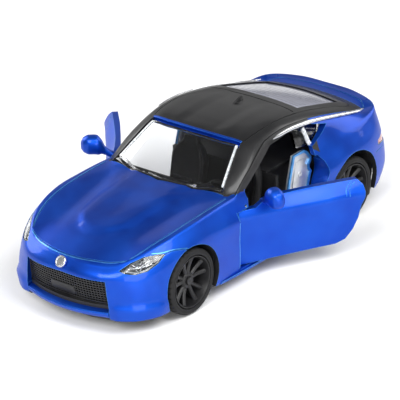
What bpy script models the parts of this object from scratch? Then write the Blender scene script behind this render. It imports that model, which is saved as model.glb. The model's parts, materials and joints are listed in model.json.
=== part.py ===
"""Pull back coupe with two opening doors and a wind-up motor on its rear axle, 1:36.

Lengths below are millimetres in the car's own frame: +X to the car's left, -Y towards
its nose, +Z up, ground at Z = 0. Everything hangs on one empty that scales to metres.
"""

import math

import bmesh
import bpy
from mathutils import Matrix, Vector

MM = 0.001
BODY_OFFSET_X = 2.2  # the right door stands open further, so the car sits left of the origin

# ---- running gear ----
FRONT_AXLE = (-35.8, 9.3)
REAR_AXLE = (35.0, 9.3)
AXLE_RADIUS = 1.0
AXLE_HALF_LENGTH = 21.6
TYRE_RADIUS = 9.3
TYRE_BORE = 7.5
TYRE_INNER_X = 17.6
TYRE_OUTER_X = 24.9
WHEEL_SEGMENTS = 24
SPOKES = 5
FRONT_ARCH = (-35.8, 9.3, 10.6)
REAR_ARCH = (35.4, 9.5, 11.2)

# ---- doors ----
HINGE = (23.5, -11.2)
LEFT_OPEN_DEG = 30.0
RIGHT_OPEN_DEG = 40.0
PIN_RADIUS = 0.4
BARREL_RADIUS = 1.2
DOOR_OUTLINE = [
    (-13.7, 5.0), (14.4, 5.7), (17.3, 6.7), (19.5, 9.3), (21.1, 12.5), (21.9, 16.0),
    (23.0, 18.2), (23.3, 20.0), (23.0, 21.8), (21.7, 23.2), (-3.4, 22.7), (-6.0, 22.0),
    (-8.4, 20.95), (-13.7, 20.9),
]  # (y, z) of the closed door
APERTURE_OUTLINE = [
    (-15.5, 4.6), (14.6, 5.3), (17.7, 6.3), (20.0, 9.0), (21.6, 12.3), (22.4, 15.8),
    (23.5, 17.9), (23.9, 20.0), (23.5, 22.2), (22.1, 24.2), (-8.6, 24.2), (-10.4, 21.3),
    (-15.5, 21.3),
]
WINDOW_OUTLINE = [
    (-9.4, 23.2), (21.4, 23.2), (21.0, 26.9), (29.4, 30.4), (21.8, 32.8), (12.0, 33.7),
    (4.6, 33.0), (-4.4, 28.4), (-9.4, 25.3),
]

# ---- skin thicknesses, measured inwards from the outer surface ----
ROOF_DEPTH = 0.55
ROOF_SEAT = 0.85
CASTING = 1.5
GLASS_TOP = 0.4
GLASS_SEAT = 1.95
GLASS_BACK = 2.7

# ---- outer surface of the left half, nose to tail along each line, (x, y, z) ----
LOWER = [
    (0, -59.6, 4.2), (8, -59.2, 4.2), (14.8, -57.4, 4.2), (20.4, -53.6, 4.2),
    (23.8, -46.8, 4.3), (25.0, -35.8, 4.4), (24.9, -25.2, 4.2), (24.5, -14.2, 3.8),
    (24.4, 4, 3.8), (24.8, 20, 4.2), (25.4, 35, 5.0), (24.4, 46.5, 5.4),
    (20.6, 54.0, 6.0), (10.5, 57.4, 6.6), (0, 58.2, 6.6),
]
SILL = [
    (0, -60.2, 8), (8, -59.8, 8), (14.7, -57.9, 8), (21.0, -53.8, 8),
    (24.5, -46.8, 8), (25.5, -35.8, 8), (25.2, -25.2, 8), (24.8, -14.2, 7.4),
    (24.6, 4, 7.2), (25.0, 20, 7.6), (25.7, 35, 8.6), (24.9, 46.5, 9.0),
    (21.6, 54.8, 9.5), (11, 58.6, 10), (0, 59.4, 10),
]
WAIST = [
    (0, -60.4, 13.5), (8, -60.0, 13.5), (14.2, -58.1, 13.5), (20.7, -53.3, 13.5),
    (24.3, -46.4, 13.8), (25.6, -35.8, 14.5), (25.3, -25.2, 14), (24.9, -14.2, 13.5),
    (24.7, 4, 13.5), (25.2, 20, 14), (25.9, 35, 15), (25.1, 46.3, 15),
    (21.7, 54.7, 15), (11, 58.8, 15.5), (0, 59.6, 15.5),
]
SHOULDER = [
    (0, -60.3, 16.4), (8, -59.9, 16.4), (13.8, -58.0, 16.2), (19.7, -52.6, 17.6),
    (23.4, -45.3, 19.4), (25.0, -35.8, 20.0), (25.1, -25.2, 19.6), (25.0, -14.2, 19.0),
    (24.9, 4, 18.9), (25.2, 20, 19.4), (25.8, 35, 20.6), (24.8, 46, 20.4),
    (21.4, 53.4, 20.9), (11.2, 57.4, 21.6), (0, 58.2, 21.8),
]
CREST = [
    (0, -58.4, 19.2), (8, -57.6, 19.1), (13.6, -55.2, 19.0), (17.9, -50.8, 20.8),
    (21.0, -44.5, 22.8), (22.6, -35.8, 24.3), (22.6, -25.2, 24.9), (22.2, -14.4, 25.0),
    (22.3, 4, 23.0), (22.6, 20, 24.2), (23.4, 33, 25.3), (22.1, 45, 25.9),
    (19.3, 53.2, 27.0), (10.2, 56.6, 27.8), (0, 56.9, 28.0),
]
LEVELS = [LOWER, SILL, WAIST, SHOULDER, CREST]

# Bonnet rows behind its front edge: middle, bulge, outer panel, shut line.
BONNET_ROWS = [
    [(0, -49, 22.4), (5.6, -47, 22.7), (14, -46, 22.0), (19.8, -44.9, 22.75)],
    [(0, -37.5, 24.2), (6.4, -37, 24.3), (14.6, -36.5, 23.4), (21.4, -35.9, 24.3)],
    [(0, -27, 25.3), (8, -27, 25.4), (15.6, -26, 24.6), (21.7, -25.4, 25.0)],
]
# Cabin rows from the foot of the windscreen to the foot of the tailgate:
# middle, inner, edge of the glass, edge of the roof.
CABIN_ROWS = [
    [(0, -18.5, 26.0), (10.6, -17.5, 26.0), (19.3, -15.2, 25.9), (21.7, -13.2, 25.2)],
    [(0, -11, 31.2), (10.2, -10.2, 31.0), (17.6, -8.6, 30.6), (21.0, -5.6, 29.9)],
    [(0, -2.6, 35.8), (9.2, -2.2, 35.6), (15.6, -1.6, 35.0), (19.3, 3.3, 34.2)],
    [(0, 8, 37.2), (9.2, 8, 36.9), (15.9, 8, 36.3), (19.2, 11.2, 34.9)],
    [(0, 21.8, 36.4), (9, 21.8, 36.1), (15.4, 21.8, 35.3), (18.9, 21.2, 33.9)],
    [(0, 34, 33.6), (8.8, 34, 33.2), (14.8, 34, 32.3), (18.6, 33.6, 31.1)],
    [(0, 45.5, 30.0), (9, 45.3, 29.6), (14.9, 45, 28.9), (17.9, 45, 27.9)],
    [(0, 52.4, 27.3), (9.6, 52.0, 27.0), (15.6, 51.4, 26.4), (17.2, 51.0, 26.1)],
]
# Where the rows above meet the five lines, counted in points along those lines.
BONNET_EDGE = (0, 1, 2, 2.7, 3)
CABIN_BELT = (7, 7.5, 8, 8.5, 9.1, 10.05, 11, 12)
TAIL_EDGE = (14, 13, 12.35, 12.12, 12)
CUTS_PER_SPAN = 2

ROOF_OUTLINE = [
    (0, -19.6), (19.8, -15.8), (21.6, -12.6), (21.0, -5.6), (19.2, 3.3), (18.8, 21.2), (17.9, 45.0),
    (17.3, 50.8), (9.6, 51.8), (0, 52.2),
]
SCREEN_OUTLINE = [(0, -18.4), (10.4, -17.2), (18.7, -14.4), (15.0, -2.4), (9.2, -3.2), (0, -3.6)]
SCREEN_IN_ROOF = [(0, -24), (24, -24), (18.8, -14.2), (15.15, -1.5), (9.2, -2.2), (0, -2.6)]
TAILGATE_GLASS = [(0, 24.7), (13.9, 25.0), (12.7, 45.0), (0, 45.5)]

# ---- motor ----
MODULE = 0.5
PINION_TEETH = 10
IDLER_TEETH = 22
IDLER_SMALL_TEETH = 10
DRUM_TEETH = 26
IDLER_SHAFT = (28.0, 13.4)
DRUM_SHAFT = (19.1, 11.5)
SHAFT_RADIUS = 0.8

PAINT = ("metallic_blue_paint", (0.012, 0.075, 0.50), 0.25, 0.55)
BLACK_GLOSS = ("black_gloss_plastic", (0.012, 0.012, 0.014), 0.28, 0.0)
BLACK_SATIN = ("black_satin_plastic", (0.02, 0.02, 0.022), 0.55, 0.0)
CHARCOAL = ("charcoal_plastic", (0.035, 0.036, 0.04), 0.5, 0.0)
RUBBER = ("tyre_rubber", (0.022, 0.022, 0.023), 0.8, 0.0)
CLEAR = ("clear_plastic", (0.85, 0.88, 0.92), 0.08, 0.0)
SMOKED = ("chromed_reflector", (0.55, 0.56, 0.58), 0.18, 1.0)
SILVER = ("silver_trim", (0.72, 0.73, 0.75), 0.28, 0.9)
STEEL = ("bright_steel", (0.62, 0.62, 0.63), 0.3, 1.0)
RED = ("red_lamp_plastic", (0.45, 0.01, 0.012), 0.15, 0.0)
NYLON = ("white_nylon", (0.78, 0.77, 0.72), 0.45, 0.0)
GREY = ("grey_side_panel", (0.62, 0.64, 0.68), 0.35, 0.3)


# ---------------------------------------------------------------- curves
def spline_at(points, u):
    """Point u spans along a smooth line through the points, its pace set by their spacing."""
    last = len(points) - 1
    i = min(int(u), last - 1)
    a = u - i
    if last == 1:
        return points[0].lerp(points[1], a)
    h = max((points[i + 1] - points[i]).length, MM)
    start = line_slope(points, i) * h
    end = line_slope(points, i + 1) * h
    return (
        points[i] * (2 * a**3 - 3 * a**2 + 1)
        + start * (a**3 - 2 * a**2 + a)
        + points[i + 1] * (3 * a**2 - 2 * a**3)
        + end * (a**3 - a**2)
    )


def line_slope(points, i):
    last = len(points) - 1
    if i == 0:
        return (points[1] - points[0]) / max((points[1] - points[0]).length, MM)
    if i == last:
        return (points[last] - points[last - 1]) / max((points[last] - points[last - 1]).length, MM)
    before = max((points[i] - points[i - 1]).length, MM)
    after = max((points[i + 1] - points[i]).length, MM)
    slope_before = (points[i] - points[i - 1]) / before
    slope_after = (points[i + 1] - points[i]) / after
    return (slope_before * after + slope_after * before) / (before + after)


def mirrored(point):
    return Vector((-point.x, point.y, point.z))


def level_at(level, u):
    """Point on one of the five lines, which cross the car's middle squarely at both ends."""
    points = [Vector(p) for p in level]
    padded = [mirrored(points[1])] + points + [mirrored(points[-2])]
    return spline_at(padded, u + 1)


def subdivided(stops, cuts=CUTS_PER_SPAN):
    """The stops with evenly spaced values between them, a number of cuts to each span."""
    values = []
    for a, b in zip(stops, stops[1:]):
        values += [a + (b - a) * k / cuts for k in range(cuts)]
    return values + [stops[-1]]


# ---------------------------------------------------------------- outer surface
def cap_row(points, cuts):
    """Left half of one row across the car, from its middle to the crest line."""
    full = [mirrored(p) for p in reversed(points[1:])] + points
    middle = len(points) - 1
    return [spline_at(full, middle + w) for w in subdivided(range(len(points)), cuts)]


def cap_patch(rows, edge_stops, belt_stops, cuts):
    """Rows across the car between the given ones; an edge row lies on the crest line."""
    patch = []
    for v in subdivided(range(len(rows)), cuts):
        if edge_stops and v == 0:
            patch.append([level_at(CREST, u) for u in subdivided(edge_stops, cuts)])
            continue
        columns = [spline_at([row[c] for row in rows], v) for c in range(len(rows[0]))]
        span = min(int(v), len(belt_stops) - 2)
        belt = belt_stops[span] + (belt_stops[span + 1] - belt_stops[span]) * (v - span)
        patch.append(cap_row(columns + [level_at(CREST, belt)], cuts))
    return patch


def surface_rows(cuts):
    """The upper surface as rows from the nose edge to the tail edge."""
    front = [level_at(CREST, u) for u in BONNET_EDGE[:4]]
    cabin = [[Vector(p) for p in row] for row in CABIN_ROWS]
    bonnet = [front] + [[Vector(p) for p in row] for row in BONNET_ROWS] + [cabin[0]]
    rows = cap_patch(bonnet, BONNET_EDGE, range(3, 8), cuts)
    rows += cap_patch(cabin, None, CABIN_BELT, cuts)[1:]
    tail = [level_at(CREST, u) for u in subdivided(TAIL_EDGE, cuts)]
    foot = rows[-1]
    rows.append([foot[i].lerp(tail[i], 0.5) for i in range(len(tail))])
    rows.append(tail)
    return rows


def side_rows(cuts):
    """The flank as rows from the crest down to the bottom edge, nose to tail."""
    stops = subdivided(BONNET_EDGE, cuts)
    stops += subdivided(range(3, 8), cuts)[1:]
    stops += subdivided(CABIN_BELT, cuts)[1:]
    stops += list(reversed(subdivided(TAIL_EDGE, cuts)))[1:]
    columns = []
    for u in stops:
        line = [level_at(level, u) for level in reversed(LEVELS)]
        columns.append([spline_at(line, v) for v in subdivided(range(len(line)), cuts)])
    return [list(row) for row in zip(*columns)]


def add_grid(bm, rows):
    """Rows joined by triangles, all cut along the same diagonal so that every skin matches."""
    verts = [[bm.verts.new(p) for p in row] for row in rows]
    for upper, lower in zip(verts, verts[1:]):
        for i in range(len(upper) - 1):
            bm.faces.new((upper[i], upper[i + 1], lower[i + 1]))
            bm.faces.new((upper[i], lower[i + 1], lower[i]))
    return verts


def hull_mesh(name, inset=0.0, drop=0.0):
    """Closed skin of the whole car, moved inwards by inset; drop lowers its open bottom edge.

    The hidden surfaces, deeper than the roof's seat, need fewer facets than the outer one.
    """
    cuts = CUTS_PER_SPAN if inset <= ROOF_SEAT else 1
    bm = bmesh.new()
    add_grid(bm, surface_rows(cuts))
    flank = add_grid(bm, side_rows(cuts))
    bottom = [v.co.copy() for v in flank[-1]]
    spine = [Vector((0, p.y, p.z)) for p in bottom]
    add_grid(bm, [bottom, spine])
    half = bm.verts[:] + bm.edges[:] + bm.faces[:]
    copied = bmesh.ops.duplicate(bm, geom=half)["geom"]
    for item in copied:
        if isinstance(item, bmesh.types.BMVert):
            item.co.x = -item.co.x
    bmesh.ops.remove_doubles(bm, verts=bm.verts, dist=0.004)
    bmesh.ops.dissolve_degenerate(bm, edges=bm.edges, dist=0.002)
    bmesh.ops.recalc_face_normals(bm, faces=bm.faces)
    bm.normal_update()
    if inset:
        edge = {(round(abs(p.x), 2), round(p.y, 2), round(p.z, 2)) for p in bottom + spine}
        moves = []
        for v in bm.verts:
            key = (round(abs(v.co.x), 2), round(v.co.y, 2), round(v.co.z, 2))
            if key in edge:
                flat = Vector((v.normal.x, v.normal.y, 0))
                if flat.length > 0.3:
                    flat.normalize()
                moves.append((v, -flat * inset - Vector((0, 0, drop))))
            else:
                moves.append((v, -v.normal * inset))
        for v, move in moves:
            v.co += move
    return mesh_from(bm, name)


# ---------------------------------------------------------------- building blocks
def mesh_from(bm, name):
    mesh = bpy.data.meshes.new(name)
    bm.to_mesh(mesh)
    bm.free()
    return mesh


def place(name, mesh, parent, location=(0, 0, 0)):
    obj = bpy.data.objects.new(name, mesh)
    bpy.context.scene.collection.objects.link(obj)
    obj.parent = parent
    obj.location = location
    return obj


def empty(name, parent, location):
    return place(name, None, parent, location)


def prism_mesh(name, outline, axis, low, high):
    """Outline extruded along X, Y or Z; its pairs are the other two coordinates in order."""
    bm = bmesh.new()
    ends = []
    for depth in (low, high):
        ring = []
        for a, b in outline:
            point = {"X": (depth, a, b), "Y": (a, depth, b), "Z": (a, b, depth)}[axis]
            ring.append(bm.verts.new(point))
        ends.append(ring)
    count = len(outline)
    for i in range(count):
        j = (i + 1) % count
        bm.faces.new((ends[0][i], ends[0][j], ends[1][j], ends[1][i]))
    bm.faces.new(ends[0])
    bm.faces.new(ends[1])
    bmesh.ops.recalc_face_normals(bm, faces=bm.faces)
    return mesh_from(bm, name)


def box_mesh(name, low, high):
    outline = [(low[0], low[1]), (high[0], low[1]), (high[0], high[1]), (low[0], high[1])]
    return prism_mesh(name, outline, "Z", low[2], high[2])


def turned_mesh(name, profile, segments=WHEEL_SEGMENTS):
    """Closed (x, radius) profile turned about the X axis; a radius of 0 lies on the axis."""
    bm = bmesh.new()
    rings = []
    for x, radius in profile:
        if radius == 0:
            rings.append([bm.verts.new((x, 0, 0))] * segments)
            continue
        angles = [2 * math.pi * k / segments for k in range(segments)]
        rings.append([bm.verts.new((x, radius * math.cos(a), radius * math.sin(a))) for a in angles])
    pairs = list(zip(rings, rings[1:] + rings[:1]))
    if profile[0][1] == 0:
        pairs.pop()
    for first, second in pairs:
        for k in range(segments):
            j = (k + 1) % segments
            corners = []
            for v in (first[k], first[j], second[j], second[k]):
                if v not in corners:
                    corners.append(v)
            bm.faces.new(corners)
    bmesh.ops.recalc_face_normals(bm, faces=bm.faces)
    return mesh_from(bm, name)


def rod_mesh(name, radius, low, high, segments=16):
    return turned_mesh(name, [(low, 0), (low, radius), (high, radius), (high, 0)], segments)


def moved(mesh, matrix):
    mesh.transform(matrix)
    if matrix.determinant() < 0:
        mesh.flip_normals()
    return mesh


def at(x, y, z):
    return Matrix.Translation((x, y, z))


UPRIGHT = Matrix.Rotation(-math.pi / 2, 4, "Y")
LENGTHWISE = Matrix.Rotation(math.pi / 2, 4, "Z")
FLIP_X = Matrix.Scale(-1, 4, (1, 0, 0))


def both_sides(outline):
    """Outline given from the middle round its left half, completed with the right half."""
    right = [(-x, y) for x, y in reversed(outline) if x > 0]
    return list(outline) + right


def shrunk(outline, gap):
    """The outline with each side moved inwards by gap."""
    count = len(outline)
    area = sum(
        outline[i][0] * outline[(i + 1) % count][1] - outline[(i + 1) % count][0] * outline[i][1]
        for i in range(count)
    )
    turn = 1 if area > 0 else -1
    result = []
    for i in range(count):
        here = Vector(outline[i])
        into = (here - Vector(outline[i - 1])).normalized()
        out = (Vector(outline[(i + 1) % count]) - here).normalized()
        normal_in = Vector((-into.y, into.x)) * turn
        normal_out = Vector((-out.y, out.x)) * turn
        share = 1 + normal_in.dot(normal_out)
        result.append(tuple(here + (normal_in + normal_out) * (gap / share)))
    return result


def boolean(target, mesh, operation):
    """Combine the target with a mesh given in the target's parent frame, and keep the result."""
    tool = place("tool", mesh, target.parent)
    modifier = target.modifiers.new("combine", "BOOLEAN")
    modifier.operation = operation
    modifier.solver = "EXACT"
    modifier.object = tool
    graph = bpy.context.evaluated_depsgraph_get()
    target.data = bpy.data.meshes.new_from_object(target.evaluated_get(graph))
    target.modifiers.clear()
    bpy.data.objects.remove(tool)


def cut(target, *meshes):
    for mesh in meshes:
        boolean(target, mesh, "DIFFERENCE")


def add(target, *meshes):
    for mesh in meshes:
        boolean(target, mesh, "UNION")


def keep_inside(target, mesh):
    boolean(target, mesh, "INTERSECT")


def material(look):
    name, colour, roughness, metallic = look
    found = bpy.data.materials.get(name)
    if found:
        return found
    made = bpy.data.materials.new(name)
    made.use_nodes = True
    shader = made.node_tree.nodes["Principled BSDF"]
    shader.inputs["Base Color"].default_value = (*colour, 1.0)
    shader.inputs["Roughness"].default_value = roughness
    shader.inputs["Metallic"].default_value = metallic
    if look is CLEAR:
        shader.inputs["Alpha"].default_value = 0.35
    return made


def finish(obj, look, origin=None):
    """Clean the mesh, move its origin to the given point, then colour and smooth it."""
    bm = bmesh.new()
    bm.from_mesh(obj.data)
    bmesh.ops.remove_doubles(bm, verts=bm.verts, dist=0.003)
    bmesh.ops.dissolve_degenerate(bm, edges=bm.edges, dist=0.002)
    bmesh.ops.triangulate(bm, faces=bm.faces)
    bm.to_mesh(obj.data)
    bm.free()
    if origin:
        obj.data.transform(at(*origin).inverted())
        obj.location = origin
    obj.data.materials.clear()
    obj.data.materials.append(material(look))
    obj.data.shade_smooth()
    obj.data.set_sharp_from_angle(angle=math.radians(35))
    return obj


# ---------------------------------------------------------------- body
def lamp_prism(points, direction, reach, behind=None):
    """Slanted prism through a ring of surface points, used for a lamp in a corner."""
    along = Vector(direction).normalized()
    bm = bmesh.new()
    rings = []
    for depth in (-(behind or reach), reach):
        rings.append([bm.verts.new(Vector(p) + along * depth) for p in points])
    count = len(points)
    for i in range(count):
        j = (i + 1) % count
        bm.faces.new((rings[0][i], rings[0][j], rings[1][j], rings[1][i]))
    bm.faces.new(rings[0])
    bm.faces.new(rings[1])
    bmesh.ops.recalc_face_normals(bm, faces=bm.faces)
    return mesh_from(bm, "lamp_prism")


def shrunk_ring(points, factor):
    middle = sum((Vector(p) for p in points), Vector()) / len(points)
    return [middle + (Vector(p) - middle) * factor for p in points]


HEADLAMP = [
    (15.2, -54.6, 17.5), (17.1, -52.0, 19.3), (19.4, -49.4, 20.6), (22.0, -46.6, 21.1),
    (23.4, -44.9, 20.9), (22.8, -47.4, 18.9), (21.3, -50.2, 17.3), (19.2, -52.7, 16.7),
    (17.0, -54.2, 16.9),
]
HEADLAMP_FACING = (0.62, -0.66, 0.42)
TAIL_LAMP = [(9.0, 17.4), (22.6, 17.0), (24.6, 18.0), (24.6, 19.3), (22.6, 19.9), (9.0, 20.1)]
GRILLE = [(0, 7.1), (14.3, 7.1), (13.5, 15.3), (0, 15.6)]
DOOR_JAMB = [
    (17.7, 6.3), (18.3, 5.6), (20.9, 8.5), (22.5, 12.0), (23.3, 15.4), (24.5, 17.6),
    (24.9, 20.0), (24.5, 22.6), (23.5, 22.2), (23.9, 20.0), (23.5, 17.9), (22.4, 15.8),
    (21.6, 12.3), (20.0, 9.0),
]  # (y, z) of the wall that turns inwards behind each door opening
BODY_POSTS = [(-46.5, 22.0), (48.5, 27.0)]  # (y, top z) of the two screw posts
POST_RADIUS = 2.3


def arch_mesh(arch, x_low, x_high, grow=0.0):
    y, z, radius = arch
    return moved(rod_mesh("arch", radius + grow, x_low, x_high, 32), at(0, y, z))


def body_shell(root):
    shell = place("body_shell", hull_mesh("body_shell"), root)
    seat = place("seat", prism_mesh("seat", both_sides(ROOF_OUTLINE), "Z", 23.0, 45), root)
    cut(seat, hull_mesh("seat_floor", ROOF_SEAT))
    boolean(shell, seat.data.copy(), "DIFFERENCE")
    bpy.data.objects.remove(seat)
    cut(
        shell,
        hull_mesh("cavity", CASTING, 6),
        prism_mesh("screen", both_sides(SCREEN_OUTLINE), "Z", 15, 45),
        prism_mesh("tailgate_glass", both_sides(shrunk_half(TAILGATE_GLASS, 0.5)), "Z", 15, 45),
        prism_mesh("windows", WINDOW_OUTLINE, "X", -30, 30),
        prism_mesh("apertures", APERTURE_OUTLINE, "X", -30, 30),
        prism_mesh("grille", both_sides(GRILLE), "Y", -70, -50),
    )
    for side in (FLIP_X, Matrix.Identity(4)):
        cut(
            shell,
            moved(arch_mesh(FRONT_ARCH, 15, 30), side),
            moved(arch_mesh(REAR_ARCH, 15, 30), side),
            moved(lamp_prism(HEADLAMP, HEADLAMP_FACING, 4), side),
            moved(prism_mesh("tail_lamp", TAIL_LAMP, "Y", 48, 62), side),
            moved(rod_mesh("pin_hole", PIN_RADIUS + 0.1, 2, 22.2, 10), side @ at(*HINGE, 0) @ UPRIGHT),
        )
    for side in (FLIP_X, Matrix.Identity(4)):
        jamb = place("jamb", prism_mesh("jamb", DOOR_JAMB, "X", 20.3, 30), root)
        keep_inside(jamb, hull_mesh("jamb_limit", 0.7))
        add(shell, moved(jamb.data.copy(), side))
        bpy.data.objects.remove(jamb)
    for y, top in BODY_POSTS:
        add(shell, moved(rod_mesh("post", POST_RADIUS, 4.3, top, 20), at(0, y, 0) @ UPRIGHT))
        cut(shell, moved(rod_mesh("pilot", 0.95, 2, 12, 12), at(0, y, 0) @ UPRIGHT))
    return finish(shell, PAINT)


def shrunk_half(outline, gap):
    """Half outline with its corners drawn in by gap, its middle points kept on the middle."""
    full = shrunk(both_sides(outline), gap)[: len(outline)]
    return [(0.0 if half[0] == 0 else x, y) for (x, y), half in zip(full, outline)]


def roof_panel(root):
    roof = place("roof_panel", hull_mesh("roof_panel"), root)
    keep_inside(roof, prism_mesh("trim", both_sides(shrunk_half(ROOF_OUTLINE, 0.15)), "Z", 23.2, 45))
    cut(
        roof,
        hull_mesh("underside", ROOF_DEPTH),
        prism_mesh("screen", both_sides(SCREEN_IN_ROOF), "Z", 15, 45),
        prism_mesh("tailgate_glass", both_sides(TAILGATE_GLASS), "Z", 15, 45),
    )
    fin = prism_mesh("fin", [(14.6, 36.6), (18.4, 36.6), (18.3, 37.9), (17.6, 38.1), (16.2, 37.4)], "X", -0.45, 0.45)
    add(roof, fin)
    return finish(roof, BLACK_GLOSS)


def glazing(root):
    """One clear moulding: raised windscreen and tailgate glass on a liner under the roof."""
    glass = place("glazing", hull_mesh("glazing", GLASS_TOP), root)
    raised = place("raised", prism_mesh("raised", both_sides(shrunk_half(SCREEN_OUTLINE, 0.3)), "Z", 15, 45), root)
    add(raised, prism_mesh("raised", both_sides(shrunk_half(TAILGATE_GLASS, 0.9)), "Z", 15, 45))
    keep_inside(glass, raised.data.copy())
    bpy.data.objects.remove(raised)
    liner = place("liner", hull_mesh("liner", GLASS_SEAT), root)
    zone = place("zone", prism_mesh("zone", both_sides([(0, -17), (15.2, -14), (15.2, 45.5), (0, 45.5)]), "Z", 25.0, 45), root)
    add(zone, prism_mesh("zone", [(14.8, 36), (15.0, 27.6), (20.6, 26.6), (30.2, 30.4), (30.2, 36)], "X", -24, 24))
    keep_inside(liner, zone.data.copy())
    bpy.data.objects.remove(zone)
    add(glass, liner.data.copy())
    bpy.data.objects.remove(liner)
    cut(glass, hull_mesh("glass_back", GLASS_BACK, 6))
    return finish(glass, CLEAR)


def roof_trim(root, name, side):
    """Bright strip along the roof's edge, from behind the windscreen pillar to the tail."""
    rows = [[Vector(p) for p in row] for row in CABIN_ROWS]
    bm = bmesh.new()
    rings = []
    for v in subdivided((2.3, 3, 4, 5, 6, 6.7), 3):
        edge, below, ahead = (cabin_point(rows, *spot) for spot in ((v, 3.02), (v, 3.2), (v + 0.05, 3.02)))
        down = (below - edge).normalized()
        out = down.cross(ahead - edge).normalized()
        out *= 1 if out.x > 0 else -1
        corners = [
            edge + down * 0.25 + out * 0.15, edge + down * 0.25 + out * 0.5,
            edge + down * 1.3 + out * 0.5, edge + down * 1.3 + out * 0.2,
        ]
        rings.append([bm.verts.new(p) for p in corners])
    for first, second in zip(rings, rings[1:]):
        for k in range(4):
            j = (k + 1) % 4
            bm.faces.new((first[k], first[j], second[j], second[k]))
    bm.faces.new(rings[0])
    bm.faces.new(rings[-1])
    bmesh.ops.recalc_face_normals(bm, faces=bm.faces)
    trim = place(name, moved(mesh_from(bm, name), side), root)
    return finish(trim, SILVER)


def cabin_point(rows, v, w):
    """Point on the cabin's surface, v rows back and w columns out from the middle."""
    columns = [spline_at([row[c] for row in rows], v) for c in range(len(rows[0]))]
    span = min(int(v), len(CABIN_BELT) - 2)
    belt = CABIN_BELT[span] + (CABIN_BELT[span + 1] - CABIN_BELT[span]) * (v - span)
    points = columns + [level_at(CREST, belt)]
    full = [mirrored(p) for p in reversed(points[1:])] + points
    return spline_at(full, len(points) - 1 + w)


def front_grille(root):
    grille = place("front_grille", hull_mesh("front_grille", 0.9), root)
    keep_inside(grille, prism_mesh("grille", both_sides(shrunk_half(GRILLE, 0.3)), "Y", -70, -50))
    cut(grille, hull_mesh("grille_back", 2.6, 6))
    return finish(grille, BLACK_SATIN)


def front_badge(root):
    """Plain round badge on the nose."""
    disc = moved(rod_mesh("front_badge", 1.9, 0, 0.6, 24), Matrix.Rotation(math.radians(56), 4, "X") @ UPRIGHT)
    badge = place("front_badge", disc, root, (0, -60.0, 18.2))
    return finish(badge, SILVER)


def headlamp(root, name, side):
    lens = place(name + "_lens", moved(hull_mesh(name, 0.15), side), root)
    keep_inside(lens, moved(lamp_prism(shrunk_ring(HEADLAMP, 0.95), HEADLAMP_FACING, 3), side))
    cut(lens, moved(hull_mesh("lens_back", 1.0, 6), side))
    finish(lens, CLEAR)
    bowl = place(name + "_reflector", moved(hull_mesh(name, 1.3), side), root)
    keep_inside(bowl, moved(lamp_prism(shrunk_ring(HEADLAMP, 0.93), HEADLAMP_FACING, 4, 2.4), side))
    finish(bowl, SMOKED)


def tail_lamp(root, name, side):
    lamp = place(name, hull_mesh(name, 0.15), root)
    keep_inside(lamp, moved(prism_mesh("tail_lamp", shrunk(TAIL_LAMP, 0.25), "Y", 48.5, 62), side))
    cut(lamp, hull_mesh("lamp_back", 1.5, 6))
    return finish(lamp, RED)


# ---------------------------------------------------------------- doors
def door(root, side_name, open_deg):
    """Door casting with its mirror, modelled shut about its hinge, then swung open."""
    left = side_name == "left"
    side = Matrix.Identity(4) if left else FLIP_X
    sign = 1 if left else -1
    frame = side @ at(-HINGE[0], -HINGE[1], 0)
    hinge = empty(side_name + "_door_hinge", root, (sign * HINGE[0], HINGE[1], 0))
    panel = place(side_name + "_door", moved(hull_mesh("door"), frame), hinge)
    keep_inside(panel, moved(prism_mesh("outline", DOOR_OUTLINE, "X", 15, 30), frame))
    cut(panel, moved(hull_mesh("door_inside", CASTING, 6), frame))
    barrel = place("barrel", moved(rod_mesh("barrel", BARREL_RADIUS, 5.6, 20.7, 16), frame @ at(*HINGE, 0) @ UPRIGHT), hinge)
    keep_inside(barrel, moved(hull_mesh("barrel_skin", 0.25), frame))
    add(panel, barrel.data.copy(), moved(mirror_mesh(), frame))
    bpy.data.objects.remove(barrel)
    cut(panel, moved(rod_mesh("bore", PIN_RADIUS + 0.2, 3, 23, 12), frame @ at(*HINGE, 0) @ UPRIGHT))
    finish(panel, PAINT)
    pin = moved(rod_mesh("pin", PIN_RADIUS, 4.3, 21.9, 12), UPRIGHT)
    finish(place(side_name + "_hinge_pin", pin, root, (sign * HINGE[0], HINGE[1], 0)), STEEL)
    hinge.rotation_euler.z = math.radians(-sign * open_deg)


def mirror_mesh():
    """Rounded mirror head on a short arm that grows out of the door's top."""
    bm = bmesh.new()
    # (x, y, z, half depth, half height) of sections from the door outwards
    sections = [
        (21.6, -4.9, 21.5, 1.4, 1.0), (23.6, -4.9, 22.1, 1.3, 1.0), (25.2, -4.8, 23.2, 1.4, 1.2),
        (26.2, -4.6, 24.4, 2.0, 2.1), (27.4, -4.5, 24.9, 2.5, 2.8), (29.6, -4.4, 25.0, 2.5, 2.8),
        (31.2, -4.2, 24.9, 1.9, 2.1), (31.9, -4.1, 24.8, 0.9, 1.0),
    ]
    rings = []
    for x, y, z, depth, height in sections:
        ring = []
        for k in range(12):
            a = 2 * math.pi * k / 12
            ring.append(bm.verts.new((x, y + depth * math.cos(a), z + height * math.sin(a))))
        rings.append(ring)
    for first, second in zip(rings, rings[1:]):
        for k in range(12):
            j = (k + 1) % 12
            bm.faces.new((first[k], first[j], second[j], second[k]))
    bm.faces.new(rings[0])
    bm.faces.new(rings[-1])
    bmesh.ops.recalc_face_normals(bm, faces=bm.faces)
    return mesh_from(bm, "mirror")


# ---------------------------------------------------------------- cabin
def slab(outline, low, high):
    return prism_mesh("slab", outline, "X", low, high)


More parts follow.
